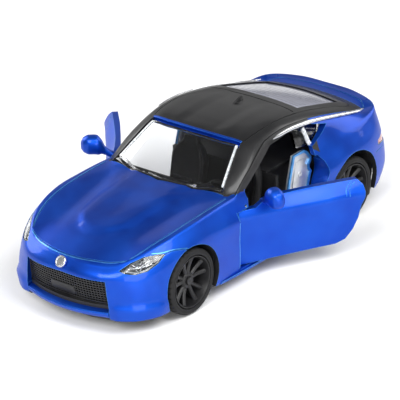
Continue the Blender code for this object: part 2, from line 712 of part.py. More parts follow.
def interior_tub(root):
    """Floor, dashboard, seats, bulkhead and parcel shelf in one moulding."""
    tub = place("interior_tub", box_mesh("floor", (-18.6, -15.6, 5.4), (18.6, 10.3, 6.5)), root)
    dash = [(-15.6, 5.9), (-15.8, 23.1), (-12.4, 23.3), (-9.4, 22.6), (-8.6, 20.4), (-10.6, 17.2), (-11.4, 5.9)]
    bulkhead = [(9.1, 5.9), (10.4, 5.9), (10.4, 21.4), (9.1, 21.4)]
    shelf = [(9.3, 20.9), (40.5, 20.9), (44.6, 22.0), (44.6, 23.0), (40.0, 21.9), (9.3, 21.9)]
    tunnel = [(-11.2, 6.1), (9.4, 6.1), (9.4, 12.0), (2.0, 11.0), (-11.2, 12.4)]
    add(
        tub,
        slab(dash, -18.4, 18.4),
        slab(bulkhead, -18.2, 18.2),
        slab(shelf, -14.8, 14.8),
        slab(tunnel, -2.0, 2.0),
    )
    base = [(-6.6, 6.2), (5.2, 6.2), (5.4, 10.2), (-5.6, 11.4), (-6.8, 10.4)]
    back = [(3.0, 9.0), (5.4, 9.8), (8.9, 23.6), (8.2, 27.6), (6.4, 27.6), (6.0, 23.8)]
    bolster = [(0.8, 9.6), (6.6, 9.9), (8.4, 19.6), (7.4, 22.6), (5.0, 21.4)]
    for sign in (-1, 1):
        ends = sorted((sign * 3.4, sign * 15.6))
        add(tub, slab(base, *ends))
        ends = sorted((sign * 4.8, sign * 14.2))
        add(tub, slab(back, *ends))
        for low, high in ((3.3, 5.3), (13.7, 15.7)):
            ends = sorted((sign * low, sign * high))
            add(tub, slab(bolster, *ends))
    return finish(tub, BLACK_SATIN)


def steering_wheel(root):
    """Rim and crossbar on a stub in front of the left seat."""
    profile = [(0.45 * math.cos(a), 3.5 + 0.45 * math.sin(a)) for a in (k * math.pi / 3 for k in range(6))]
    lean = at(9.6, -6.4, 19.6) @ Matrix.Rotation(math.radians(-24), 4, "X") @ LENGTHWISE
    wheel = place("steering_wheel", moved(turned_mesh("rim", profile, 24), lean), root)
    add(
        wheel,
        moved(box_mesh("bar", (-0.35, -3.4, -0.6), (0.35, 3.4, 0.6)), lean),
        moved(rod_mesh("hub", 1.1, -1.5, 0.7, 12), lean),
    )
    return finish(wheel, BLACK_SATIN)


def side_panel(root, name, side):
    """Bare moulded panel behind each door opening."""
    outline = [
        (12.4, 6.9), (17.2, 8.6), (20.4, 13.0), (21.6, 17.0), (22.4, 21.6), (20.6, 24.6),
        (19.4, 25.6), (15.0, 25.6), (12.6, 18.0), (11.6, 12.0),
    ]
    panel = place(name, moved(prism_mesh(name, outline, "X", 18.9, 19.9), side), root)
    return finish(panel, GREY)


# ---------------------------------------------------------------- chassis
MOTOR_LOW = (-9.6, 10.9, 3.2)
MOTOR_HIGH = (9.6, 40.4, 20.6)


def chassis_outline():
    return [(p.x, p.y) for p in (level_at(LOWER, u) for u in subdivided(range(15), 1))]


def chassis_base(root):
    """Bottom plate with axle saddles, wheel-arch liners, screw bosses and a rear valance."""
    outline = both_sides(chassis_outline())
    base = place("chassis_base", prism_mesh("plate", shrunk(outline, 2.0), "Z", 2.9, 3.9), root)
    for side in (Matrix.Identity(4), FLIP_X):
        for y, z, radius in (FRONT_ARCH, REAR_ARCH):
            cut(base, moved(box_mesh("well", (15.6, y - 9.5, 0), (30, y + 9.5, 8)), side))
            liner = [(15.4, radius + 0.2), (23.4, radius + 0.2), (23.4, radius + 0.9), (15.4, radius + 0.9)]
            ring = place("ring", moved(turned_mesh("liner", liner, 24), side @ at(0, y, z)), root)
            cut(ring, moved(box_mesh("below", (-30, -70, -20), (30, 70, 3.1)), side))
            keep_inside(ring, hull_mesh("liner_limit", CASTING + 0.3, 6))
            add(base, ring.data.copy())
            bpy.data.objects.remove(ring)
    for sign in (-1, 1):
        ends = sorted((sign * 9.0, sign * 13.0))
        add(base, box_mesh("saddle", (ends[0], FRONT_AXLE[0] - 2.6, 3.4), (ends[1], FRONT_AXLE[0] + 2.6, 12.2)))
    cut(base, moved(rod_mesh("bore", AXLE_RADIUS + 0.25, -20, 20), at(0, *FRONT_AXLE)))
    cut(base, box_mesh("motor_bay", (MOTOR_LOW[0] - 0.4, MOTOR_LOW[1] - 0.4, 0), (MOTOR_HIGH[0] + 0.4, MOTOR_HIGH[1] + 0.4, 8)))
    for y, _ in BODY_POSTS:
        cut(
            base,
            moved(rod_mesh("screw_hole", 1.1, 0, 8, 12), at(0, y, 0) @ UPRIGHT),
            moved(rod_mesh("screw_head", 2.1, 0, 3.4, 16), at(0, y, 0) @ UPRIGHT),
        )
    return finish(base, BLACK_SATIN)


def screw(root, name, y):
    profile = [(2.9, 0), (2.9, 1.8), (3.3, 1.8), (3.3, 0.85), (9.5, 0.85), (10.4, 0)]
    cross = box_mesh("cross", (-1.1, -0.22, 2.0), (1.1, 0.22, 3.1))
    piece = place(name, moved(turned_mesh(name, profile, 12), UPRIGHT), root, (0, 0, 0))
    cut(piece, cross, moved(cross.copy(), Matrix.Rotation(math.pi / 2, 4, "Z")))
    piece.data.transform(at(0, y, 0))
    return finish(piece, STEEL)


def exhaust_tip(root, name, x):
    profile = [(-5.0, 0.8), (-5.0, 1.1), (0.0, 1.15), (0.0, 0.85)]
    tip = moved(turned_mesh(name, profile, 16), LENGTHWISE)
    return finish(place(name, tip, root, (x, 60.6, 5.3)), STEEL)


# ---------------------------------------------------------------- wheels
def tyre_mesh():
    profile = [
        (TYRE_INNER_X, TYRE_BORE), (TYRE_OUTER_X - 0.4, TYRE_BORE), (TYRE_OUTER_X, TYRE_BORE + 0.35),
        (TYRE_OUTER_X - 0.1, TYRE_RADIUS - 0.7), (TYRE_OUTER_X - 0.6, TYRE_RADIUS), (TYRE_INNER_X + 0.6, TYRE_RADIUS),
        (TYRE_INNER_X, TYRE_RADIUS - 0.7),
    ]
    return turned_mesh("tyre", profile)


def rim_mesh(root):
    """Dished rim with paired spokes: a barrel and a face disc pierced between the spokes."""
    rim = place("rim", turned_mesh("rim", [(18.0, 6.1), (18.0, 7.3), (24.7, 7.3), (24.7, 6.8), (23.6, 6.1)]), root)
    face = [(20.4, AXLE_RADIUS + 0.1), (24.0, AXLE_RADIUS + 0.1), (23.2, 2.0), (23.9, 6.6), (22.6, 6.6)]
    disc = place("disc", turned_mesh("face", face, 16), root)
    for k in range(SPOKES):
        turn = Matrix.Rotation(2 * math.pi * (k + 0.5) / SPOKES, 4, "X")
        window = [(2.5, -0.5), (5.75, -2.35), (6.05, 0.0), (5.75, 2.35), (2.5, 0.5)]
        cut(disc, moved(prism_mesh("window", window, "X", 18, 26), turn))
        turn = Matrix.Rotation(2 * math.pi * k / SPOKES, 4, "X")
        slot = [(3.2, -0.16), (5.9, -0.55), (5.9, 0.55), (3.2, 0.16)]
        cut(disc, moved(prism_mesh("slot", slot, "X", 18, 26), turn))
    add(rim, disc.data.copy())
    bpy.data.objects.remove(disc)
    mesh = rim.data
    bpy.data.objects.remove(rim)
    return mesh


def axle_set(root, name, axle, tyre, rim):
    """Axle with two rims and two tyres, all on one turning frame at the axle's middle."""
    hub = empty(name + "_turning_frame", root, (0, *axle))
    finish(place(name + "_axle", rod_mesh(name, AXLE_RADIUS, -AXLE_HALF_LENGTH - 1.8, AXLE_HALF_LENGTH + 1.8), hub), STEEL)
    for side_name, matrix in (("left", Matrix.Identity(4)), ("right", FLIP_X)):
        finish(place(f"{name}_rim_{side_name}", moved(rim.copy(), matrix), hub), BLACK_GLOSS)
        finish(place(f"{name}_tyre_{side_name}", moved(tyre.copy(), matrix), hub), RUBBER)
    return hub


# ---------------------------------------------------------------- motor
def gear_outline(teeth, phase):
    """Trapezoid teeth, thinned so that meshing gears keep backlash."""
    pitch = MODULE * teeth / 2
    outline = []
    for k in range(teeth):
        centre = 2 * math.pi * k / teeth + phase
        half = math.pi / teeth
        for share, radius in ((-0.56, pitch - 0.62), (-0.2, pitch + 0.42), (0.2, pitch + 0.42), (0.56, pitch - 0.62)):
            a = centre + share * half
            outline.append((radius * math.cos(a), radius * math.sin(a)))
    return outline


def gear_mesh(teeth, phase, low, high):
    return prism_mesh("gear", gear_outline(teeth, phase), "X", low, high)


def mesh_phase(from_shaft, to_shaft, teeth, phase_from, teeth_from):
    """Turn of a gear that puts its tooth gap on the other gear's tooth, on the line of centres."""
    line = math.atan2(to_shaft[1] - from_shaft[1], to_shaft[0] - from_shaft[0])
    pitch_from = 2 * math.pi / teeth_from
    offset = (line - phase_from) / pitch_from
    lead = offset - round(offset)
    pitch_to = 2 * math.pi / teeth
    return line + math.pi + pitch_to / 2 + lead * pitch_to


def motor(root, rear_frame):
    """Split case round a wind-up spring, geared through an idler to the rear axle."""
    low, high = MOTOR_LOW, MOTOR_HIGH
    for side_name, ends in (("left", (0.1, high[0])), ("right", (low[0], -0.1))):
        name = "motor_case_" + side_name
        case = place(name, box_mesh(name, (ends[0], low[1], low[2]), (ends[1], high[1], high[2])), root)
        inner = (ends[0] - 1 if side_name == "left" else ends[0] + 1.1, low[1] + 1.1, low[2] + 1.0)
        outer = (ends[1] - 1.1 if side_name == "left" else ends[1] + 1, high[1] - 1.1, high[2] - 1.1)
        cut(case, box_mesh("hollow", inner, outer))
        cut(case, moved(rod_mesh("bore", AXLE_RADIUS + 0.25, -20, 20), at(0, *REAR_AXLE)))
        for shaft in (IDLER_SHAFT, DRUM_SHAFT):
            cut(case, moved(rod_mesh("bore", SHAFT_RADIUS + 0.2, -20, 20, 12), at(0, *shaft)))
        finish(case, CHARCOAL)

    pinion_phase = 0.0
    idler_phase = mesh_phase(REAR_AXLE, IDLER_SHAFT, IDLER_TEETH, pinion_phase, PINION_TEETH)
    drum_phase = mesh_phase(IDLER_SHAFT, DRUM_SHAFT, DRUM_TEETH, idler_phase, IDLER_SMALL_TEETH)

    pinion = place("axle_pinion", gear_mesh(PINION_TEETH, pinion_phase, -6.2, -3.6), rear_frame)
    cut(pinion, rod_mesh("bore", AXLE_RADIUS + 0.05, -20, 20))
    finish(pinion, NYLON)

    idler = place("idler_gear", gear_mesh(IDLER_TEETH, idler_phase, -5.8, -4.0), root)
    add(idler, gear_mesh(IDLER_SMALL_TEETH, idler_phase, -4.2, -1.4), rod_mesh("shaft", SHAFT_RADIUS, -9.4, 9.4, 12))
    idler.location = (0, *IDLER_SHAFT)
    finish(idler, NYLON)

    drum = place("drum_gear", gear_mesh(DRUM_TEETH, drum_phase, -3.2, -1.6), root)
    add(drum, rod_mesh("arbor", 1.5, -1.8, 6.0, 12), rod_mesh("shaft", SHAFT_RADIUS, -9.4, 9.4, 12))
    drum.location = (0, *DRUM_SHAFT)
    finish(drum, NYLON)

    finish(place("mainspring", mainspring_mesh(), root, (0, *DRUM_SHAFT)), STEEL)


def mainspring_mesh():
    """Flat spring wound in a spiral round the drum's arbor."""
    turns = 4
    steps = 10 * turns
    bm = bmesh.new()
    rings = []
    for k in range(steps + 1):
        a = 2 * math.pi * turns * k / steps
        radius = 2.0 + 1.05 * a / (2 * math.pi)
        ring = []
        for x, dr in ((0.2, 0), (0.2, 0.3), (5.2, 0.3), (5.2, 0)):
            ring.append(bm.verts.new((x, (radius + dr) * math.cos(a), (radius + dr) * math.sin(a))))
        rings.append(ring)
    for first, second in zip(rings, rings[1:]):
        for k in range(4):
            j = (k + 1) % 4
            bm.faces.new((first[k], first[j], second[j], second[k]))
    bm.faces.new(rings[0])
    bm.faces.new(rings[-1])
    bmesh.ops.recalc_face_normals(bm, faces=bm.faces)
    return mesh_from(bm, "mainspring")


# ---------------------------------------------------------------- assembly
def build():
    for obj in list(bpy.data.objects):
        bpy.data.objects.remove(obj)
    root = bpy.data.objects.new("car", None)
    bpy.context.scene.collection.objects.link(root)

    body_shell(root)
    roof_panel(root)
    glazing(root)
    front_grille(root)
    front_badge(root)
    chassis_base(root)
    interior_tub(root)
    steering_wheel(root)
    for name, side, sign in (("left", Matrix.Identity(4), 1), ("right", FLIP_X, -1)):
        roof_trim(root, "roof_trim_" + name, side)
        headlamp(root, "headlamp_" + name, side)
        tail_lamp(root, "tail_lamp_" + name, side)
        side_panel(root, "side_panel_" + name, side)
        exhaust_tip(root, "exhaust_tip_" + name, sign * 12.5)
    screw(root, "front_screw", BODY_POSTS[0][0])
    screw(root, "rear_screw", BODY_POSTS[1][0])
    door(root, "left", LEFT_OPEN_DEG)
    door(root, "right", RIGHT_OPEN_DEG)

    tyre = tyre_mesh()
    rim = rim_mesh(root)
    axle_set(root, "front", FRONT_AXLE, tyre, rim)
    rear_frame = axle_set(root, "rear", REAR_AXLE, tyre, rim)
    motor(root, rear_frame)

    root.location.x = BODY_OFFSET_X * MM
    root.scale = (MM, MM, MM)


build()
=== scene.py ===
"""Die-cast pull back car: the detailed visual model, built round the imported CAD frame.

Meshes are written in millimetres in the car's own frame (X to the car's left, nose at -Y,
ground at Z = 0) and moved to the shared frame when each piece is placed.
"""

import json
import math

import bmesh
import bpy
from mathutils import Matrix, Vector
from mathutils.bvhtree import BVHTree


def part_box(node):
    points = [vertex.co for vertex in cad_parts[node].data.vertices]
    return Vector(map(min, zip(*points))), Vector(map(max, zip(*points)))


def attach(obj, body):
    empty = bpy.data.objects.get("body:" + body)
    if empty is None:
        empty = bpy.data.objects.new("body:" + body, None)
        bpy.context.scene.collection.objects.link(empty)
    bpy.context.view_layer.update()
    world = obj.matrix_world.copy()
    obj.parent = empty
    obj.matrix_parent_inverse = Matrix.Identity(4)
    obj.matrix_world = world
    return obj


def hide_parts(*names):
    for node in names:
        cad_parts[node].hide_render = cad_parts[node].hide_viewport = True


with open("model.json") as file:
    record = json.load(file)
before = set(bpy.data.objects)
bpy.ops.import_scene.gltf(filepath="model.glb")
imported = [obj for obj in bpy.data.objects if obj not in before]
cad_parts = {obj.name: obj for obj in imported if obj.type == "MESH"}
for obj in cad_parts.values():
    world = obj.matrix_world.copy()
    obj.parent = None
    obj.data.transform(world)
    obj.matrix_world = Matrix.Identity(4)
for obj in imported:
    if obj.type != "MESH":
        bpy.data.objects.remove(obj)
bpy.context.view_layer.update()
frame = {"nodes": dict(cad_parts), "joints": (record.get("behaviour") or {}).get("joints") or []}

for startup in ("Cube", "Light", "Camera"):
    if startup in bpy.data.objects:
        bpy.data.objects.remove(bpy.data.objects[startup])

# ---------------------------------------------------------------- frame
MM = 0.001
axle_low, axle_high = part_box("front_axle")
CAR = Matrix.Translation(((axle_low.x + axle_high.x) / 2, 0, 0)) @ Matrix.Scale(MM, 4)
FLIP_X = Matrix.Scale(-1, 4, (1, 0, 0))
UPRIGHT = Matrix.Rotation(-math.pi / 2, 4, "Y")
LENGTHWISE = Matrix.Rotation(math.pi / 2, 4, "Z")
SIDES = (("left", Matrix.Identity(4)), ("right", FLIP_X))


def at(x, y, z):
    return Matrix.Translation((x, y, z))


def joint_range(name):
    """A joint's lower and upper limit, in degrees from rest."""
    return next(j["range_deg"] for j in frame["joints"] if j["name"] == name)


# ---------------------------------------------------------------- shape tables
LOWER = [
    (0, -59.6, 4.2), (8, -59.2, 4.2), (14.8, -57.4, 4.2), (20.4, -53.6, 4.2),
    (23.8, -46.8, 4.3), (25.0, -35.8, 4.4), (24.9, -25.2, 4.2), (24.5, -14.2, 3.8),
    (24.4, 4, 3.8), (24.8, 20, 4.2), (25.4, 35, 5.0), (24.4, 46.5, 5.4),
    (20.6, 54.0, 6.0), (10.5, 57.4, 6.6), (0, 58.2, 6.6),
]
SILL = [
    (0, -60.2, 8), (8, -59.8, 8), (14.7, -57.9, 8), (21.0, -53.8, 8),
    (24.5, -46.8, 8), (25.5, -35.8, 8), (25.2, -25.2, 8), (24.8, -14.2, 7.4),
    (24.6, 4, 7.2), (25.0, 20, 7.6), (25.7, 35, 8.6), (24.9, 46.5, 9.0),
    (21.6, 54.8, 9.5), (11, 58.6, 10), (0, 59.4, 10),
]
WAIST = [
    (0, -60.4, 13.5), (8, -60.0, 13.5), (14.2, -58.1, 13.5), (20.7, -53.3, 13.5),
    (24.3, -46.4, 13.8), (25.6, -35.8, 14.5), (25.3, -25.2, 14), (24.9, -14.2, 13.5),
    (24.7, 4, 13.5), (25.2, 20, 14), (25.9, 35, 15), (25.1, 46.3, 15),
    (21.7, 54.7, 15), (11, 58.8, 15.5), (0, 59.6, 15.5),
]
SHOULDER = [
    (0, -60.3, 16.4), (8, -59.9, 16.4), (13.8, -58.0, 16.2), (19.7, -52.6, 17.6),
    (23.4, -45.3, 19.4), (25.0, -35.8, 20.0), (25.1, -25.2, 19.6), (25.0, -14.2, 19.0),
    (24.9, 4, 18.9), (25.2, 20, 19.4), (25.8, 35, 20.6), (24.8, 46, 20.4),
    (21.4, 53.4, 20.9), (11.2, 57.4, 21.6), (0, 58.2, 21.8),
]
CREST = [
    (0, -58.4, 19.2), (8, -57.6, 19.1), (13.6, -55.2, 19.0), (17.9, -50.8, 20.8),
    (21.0, -44.5, 22.8), (22.6, -35.8, 24.3), (22.6, -25.2, 24.9), (22.2, -14.4, 25.0),
    (22.3, 4, 23.0), (22.6, 20, 24.2), (23.4, 33, 25.3), (22.1, 45, 25.9),
    (19.3, 53.2, 27.0), (10.2, 56.6, 27.8), (0, 56.9, 28.0),
]
LEVELS = [LOWER, SILL, WAIST, SHOULDER, CREST]
BONNET_ROWS = [
    [(0, -49, 22.4), (5.6, -47, 22.7), (14, -46, 22.0), (19.8, -44.9, 22.75)],
    [(0, -37.5, 24.2), (6.4, -37, 24.3), (14.6, -36.5, 23.4), (21.4, -35.9, 24.3)],
    [(0, -27, 25.3), (8, -27, 25.4), (15.6, -26, 24.6), (21.7, -25.4, 25.0)],
]
CABIN_ROWS = [
    [(0, -18.5, 26.0), (10.6, -17.5, 26.0), (19.3, -15.2, 25.9), (21.7, -13.2, 25.2)],
    [(0, -11, 31.2), (10.2, -10.2, 31.0), (17.6, -8.6, 30.6), (21.0, -5.6, 29.9)],
    [(0, -2.6, 35.8), (9.2, -2.2, 35.6), (15.6, -1.6, 35.0), (19.3, 3.3, 34.2)],
    [(0, 8, 37.2), (9.2, 8, 36.9), (15.9, 8, 36.3), (19.2, 11.2, 34.9)],
    [(0, 21.8, 36.4), (9, 21.8, 36.1), (15.4, 21.8, 35.3), (18.9, 21.2, 33.9)],
    [(0, 34, 33.6), (8.8, 34, 33.2), (14.8, 34, 32.3), (18.6, 33.6, 31.1)],
    [(0, 45.5, 30.0), (9, 45.3, 29.6), (14.9, 45, 28.9), (17.9, 45, 27.9)],
    [(0, 52.4, 27.3), (9.6, 52.0, 27.0), (15.6, 51.4, 26.4), (17.2, 51.0, 26.1)],
]
BONNET_EDGE = (0, 1, 2, 2.7, 3)
CABIN_BELT = (7, 7.5, 8, 8.5, 9.1, 10.05, 11, 12)
TAIL_EDGE = (14, 13, 12.35, 12.12, 12)
ROOF_OUTLINE = [
    (0, -19.6), (19.8, -15.8), (21.6, -12.6), (21.0, -5.6), (19.2, 3.3), (18.8, 21.2), (17.9, 45.0),
    (17.3, 50.8), (9.6, 51.8), (0, 52.2),
]
SCREEN_OUTLINE = [(0, -18.4), (10.4, -17.2), (18.7, -14.4), (15.0, -2.4), (9.2, -3.2), (0, -3.6)]
SCREEN_IN_ROOF = [(0, -24), (24, -24), (18.8, -14.2), (15.15, -1.5), (9.2, -2.2), (0, -2.6)]
TAILGATE_GLASS = [(0, 24.7), (13.9, 25.0), (12.7, 45.0), (0, 45.5)]
DOOR_OUTLINE = [
    (-13.7, 5.0), (14.4, 5.7), (17.3, 6.7), (19.5, 9.3), (21.1, 12.5), (21.9, 16.0),
    (23.0, 18.2), (23.3, 20.0), (23.0, 21.8), (21.7, 23.2), (-3.4, 22.7), (-6.0, 22.0),
    (-8.4, 20.95), (-13.7, 20.9),
]
APERTURE_OUTLINE = [
    (-15.5, 4.6), (14.6, 5.3), (17.7, 6.3), (20.0, 9.0), (21.6, 12.3), (22.4, 15.8),
    (23.5, 17.9), (23.9, 20.0), (23.5, 22.2), (22.1, 24.2), (-8.6, 24.2), (-10.4, 21.3),
    (-15.5, 21.3),
]
WINDOW_OUTLINE = [
    (-9.4, 23.2), (21.4, 23.2), (21.0, 26.9), (29.4, 30.4), (21.8, 32.8), (12.0, 33.7),
    (4.6, 33.0), (-4.4, 28.4), (-9.4, 25.3),
]
DOOR_JAMB = [
    (17.7, 6.3), (18.3, 5.6), (20.9, 8.5), (22.5, 12.0), (23.3, 15.4), (24.5, 17.6),
    (24.9, 20.0), (24.5, 22.6), (23.5, 22.2), (23.9, 20.0), (23.5, 17.9), (22.4, 15.8),
    (21.6, 12.3), (20.0, 9.0),
]
HEADLAMP = [
    (15.2, -54.6, 17.5), (17.1, -52.0, 19.3), (19.4, -49.4, 20.6), (22.0, -46.6, 21.1),
    (23.4, -44.9, 20.9), (22.8, -47.4, 18.9), (21.3, -50.2, 17.3), (19.2, -52.7, 16.7),
    (17.0, -54.2, 16.9),
]
HEADLAMP_FACING = (0.62, -0.66, 0.42)
TAIL_LAMP = [(9.0, 17.4), (22.6, 17.0), (24.6, 18.0), (24.6, 19.3), (22.6, 19.9), (9.0, 20.1)]
GRILLE = [(0, 7.1), (14.3, 7.1), (13.5, 15.3), (0, 15.6)]
BULGE = [(0, -47.6), (3.4, -47.0), (6.4, -44.6), (8.2, -41.0), (8.8, -30), (9.2, -22), (10.2, -14), (0, -14)]
FRONT_ARCH = (-35.8, 9.3, 10.6)
REAR_ARCH = (35.4, 9.5, 11.2)
HINGE = (23.5, -11.2)
SKIN_CUTS = 6
# depths below the outer surface, measured along its normal
ROOF_DEPTH = 0.55
ROOF_SEAT = 0.85
CASTING = 1.5
FLOOR_DROP = 6
GLASS_TOP = 0.4
GLASS_FOOT = 1.1
LINER_TOP = 1.95
LINER_FOOT = 2.7
# posts that the two chassis screws bite into, (y, top)
SCREW_POSTS = ((-46.5, 22.0), (48.5, 27.0))
POST_FOOT = 4.3
POST_RADIUS = 2.3
PILOT_RADIUS = 0.95
# reach of the cutting prisms: above and below the glass, and out past both flanks
CUT_LOW = 15
CUT_HIGH = 45
CUT_HALF = 30
DOOR_CREASE_Z = 19.1


# ---------------------------------------------------------------- curves
def spline_at(points, u):
    """Point u spans along a smooth line through the points, its pace set by their spacing."""
    last = len(points) - 1
    i = min(int(u), last - 1)
    a = u - i
    if last == 1:
        return points[0].lerp(points[1], a)
    h = max((points[i + 1] - points[i]).length, MM)
    start = line_slope(points, i) * h
    end = line_slope(points, i + 1) * h
    return (
        points[i] * (2 * a**3 - 3 * a**2 + 1)
        + start * (a**3 - 2 * a**2 + a)
        + points[i + 1] * (3 * a**2 - 2 * a**3)
        + end * (a**3 - a**2)
    )


def line_slope(points, i):
    last = len(points) - 1
    if i == 0:
        return (points[1] - points[0]) / max((points[1] - points[0]).length, MM)
    if i == last:
        return (points[last] - points[last - 1]) / max((points[last] - points[last - 1]).length, MM)
    before = max((points[i] - points[i - 1]).length, MM)
    after = max((points[i + 1] - points[i]).length, MM)
    slope_before = (points[i] - points[i - 1]) / before
    slope_after = (points[i + 1] - points[i]) / after
    return (slope_before * after + slope_after * before) / (before + after)


def smooth_path(points, count):
    """Evenly numbered points along a smooth line through the given ones."""
    points = [Vector(p) for p in points]
    last = len(points) - 1
    return [spline_at(points, last * k / (count - 1)) for k in range(count)]


def mirrored(point):
    return Vector((-point.x, point.y, point.z))


def level_at(level, u):
    points = [Vector(p) for p in level]
    padded = [mirrored(points[1])] + points + [mirrored(points[-2])]
    return spline_at(padded, u + 1)


def subdivided(stops, cuts):
    values = []
    for a, b in zip(stops, stops[1:]):
        values += [a + (b - a) * k / cuts for k in range(cuts)]
    return values + [stops[-1]]


def turns(count):
    """Evenly spaced angles of one full turn."""
    return [2 * math.pi * k / count for k in range(count)]


def smoothstep(low, high, value):
    t = min(max((value - low) / (high - low), 0.0), 1.0)
    return t * t * (3 - 2 * t)


# ---------------------------------------------------------------- skin of the car
def cap_row(points, cuts):
    full = [mirrored(p) for p in reversed(points[1:])] + points
    middle = len(points) - 1
    return [spline_at(full, middle + w) for w in subdivided(range(len(points)), cuts)]


def cap_patch(rows, edge_stops, belt_stops, cuts):
    patch = []
    for v in subdivided(range(len(rows)), cuts):
        if edge_stops and v == 0:
            patch.append([level_at(CREST, u) for u in subdivided(edge_stops, cuts)])
            continue
        columns = [spline_at([row[c] for row in rows], v) for c in range(len(rows[0]))]
        span = min(int(v), len(belt_stops) - 2)
        belt = belt_stops[span] + (belt_stops[span + 1] - belt_stops[span]) * (v - span)
        patch.append(cap_row(columns + [level_at(CREST, belt)], cuts))
    return patch


def surface_rows(cuts):
    front = [level_at(CREST, u) for u in BONNET_EDGE[:4]]
    cabin = [[Vector(p) for p in row] for row in CABIN_ROWS]
    bonnet = [front] + [[Vector(p) for p in row] for row in BONNET_ROWS] + [cabin[0]]
    rows = cap_patch(bonnet, BONNET_EDGE, range(3, 8), cuts)
    rows += cap_patch(cabin, None, CABIN_BELT, cuts)[1:]
    tail = [level_at(CREST, u) for u in subdivided(TAIL_EDGE, cuts)]
    foot = rows[-1]
    rows.append([foot[i].lerp(tail[i], 0.5) for i in range(len(tail))])
    rows.append(tail)
    return rows


def side_rows(cuts):
    stops = subdivided(BONNET_EDGE, cuts)
    stops += subdivided(range(3, 8), cuts)[1:]
    stops += subdivided(CABIN_BELT, cuts)[1:]
    stops += list(reversed(subdivided(TAIL_EDGE, cuts)))[1:]
    columns = []
    for u in stops:
        line = [level_at(level, u) for level in reversed(LEVELS)]
        columns.append([spline_at(line, v) for v in subdivided(range(len(line)), cuts)])
    return [list(row) for row in zip(*columns)]


def add_grid(bm, rows):
    verts = [[bm.verts.new(p) for p in row] for row in rows]
    for upper, lower in zip(verts, verts[1:]):
        for i in range(len(upper) - 1):
            bm.faces.new((upper[i], upper[i + 1], lower[i + 1]))
            bm.faces.new((upper[i], lower[i + 1], lower[i]))
    return verts


def outline_depth(outline, x, y):
    """Distance from (x, y) to the outline, positive inside it."""
    inside = False
    nearest = 1e9
    for (ax, ay), (bx, by) in zip(outline, outline[1:] + outline[:1]):
        if (ay > y) != (by > y) and x < (bx - ax) * (y - ay) / (by - ay) + ax:
            inside = not inside
        if ax == bx == 0:
            continue
        reach = (bx - ax) ** 2 + (by - ay) ** 2
        t = min(max(((x - ax) * (bx - ax) + (y - ay) * (by - ay)) / reach, 0), 1)
        nearest = min(nearest, math.hypot(x - ax - t * (bx - ax), y - ay - t * (by - ay)))
    return nearest if inside else -nearest


def relief(p):
    """Height of the pressed shapes above the plain skin at a point of it."""
    x = abs(p.x)
    height = 0.0
    if p.z > 19.5 and -50 < p.y < -13:
        rise = smoothstep(-0.55, 0.55, outline_depth(BULGE, x, p.y))
        height += 0.6 * rise * smoothstep(-14.5, -18.5, p.y)
        valley = math.exp(-(((x - 12.5 - (p.y + 42) * 0.11) / 2.2) ** 2))
        height -= 0.35 * valley * smoothstep(-50, -42, p.y) * smoothstep(-16, -24, p.y)
    if p.z > 34.4 and -3 < p.y < 24:
        channel = smoothstep(7.8, 7.1, x) * smoothstep(-2.2, 0.6, p.y) * smoothstep(22.5, 21.0, p.y)
        height -= 0.34 * channel
    if p.y < -44 and p.z < 9 and x > 13:
        height += 0.8 * smoothstep(8.5, 7.6, p.z) * smoothstep(13.5, 16.5, x) * smoothstep(-44, -49, p.y)
    if p.y < -45 and 5 < p.z < 16 and x > 20:
        height += 0.35 * math.exp(-(((p.y + 48.3) / 0.7) ** 2)) * smoothstep(16, 13, p.z)
    if -30 < p.y < 34 and 16 < p.z < 22 and x > 20:
        ridge = math.exp(-abs(p.z - DOOR_CREASE_Z) / 0.8)
        height += 0.42 * ridge * smoothstep(-30, -16, p.y) * smoothstep(34, 24, p.y)
    return height


def hull_mesh(inset=0.0, drop=0.0, cuts=2, pressed=False):
    """Closed skin of the whole car, moved inwards by inset; drop lowers its open bottom edge."""
    bm = bmesh.new()
    add_grid(bm, surface_rows(cuts))
    flank = add_grid(bm, side_rows(cuts))
    bottom = [v.co.copy() for v in flank[-1]]
    spine = [Vector((0, p.y, p.z)) for p in bottom]
    add_grid(bm, [bottom, spine])
    half = bm.verts[:] + bm.edges[:] + bm.faces[:]
    for item in bmesh.ops.duplicate(bm, geom=half)["geom"]:
        if isinstance(item, bmesh.types.BMVert):
            item.co.x = -item.co.x
    bmesh.ops.remove_doubles(bm, verts=bm.verts, dist=0.004)
    bmesh.ops.dissolve_degenerate(bm, edges=bm.edges, dist=0.002)
    bmesh.ops.recalc_face_normals(bm, faces=bm.faces)
    bm.normal_update()
    edge = {(round(abs(p.x), 2), round(p.y, 2), round(p.z, 2)) for p in bottom + spine}
    moves = []
    for v in bm.verts:
        key = (round(abs(v.co.x), 2), round(v.co.y, 2), round(v.co.z, 2))
        if key in edge:
            flat = Vector((v.normal.x, v.normal.y, 0))
            if flat.length > 0.3:
                flat.normalize()
            lift = relief(v.co) if pressed else 0.0
            moves.append((v, flat * (lift - inset) - Vector((0, 0, drop))))
        else:
            lift = relief(v.co) if pressed else 0.0
            moves.append((v, v.normal * (lift - inset)))
    for v, move in moves:
        v.co += move
    return mesh_from(bm)


# ---------------------------------------------------------------- building blocks
def mesh_from(bm):
    mesh = bpy.data.meshes.new("piece")
    bm.to_mesh(mesh)
    bm.free()
    return mesh


def moved(mesh, matrix):
    mesh.transform(matrix)
    if matrix.determinant() < 0:
        mesh.flip_normals()
    return mesh


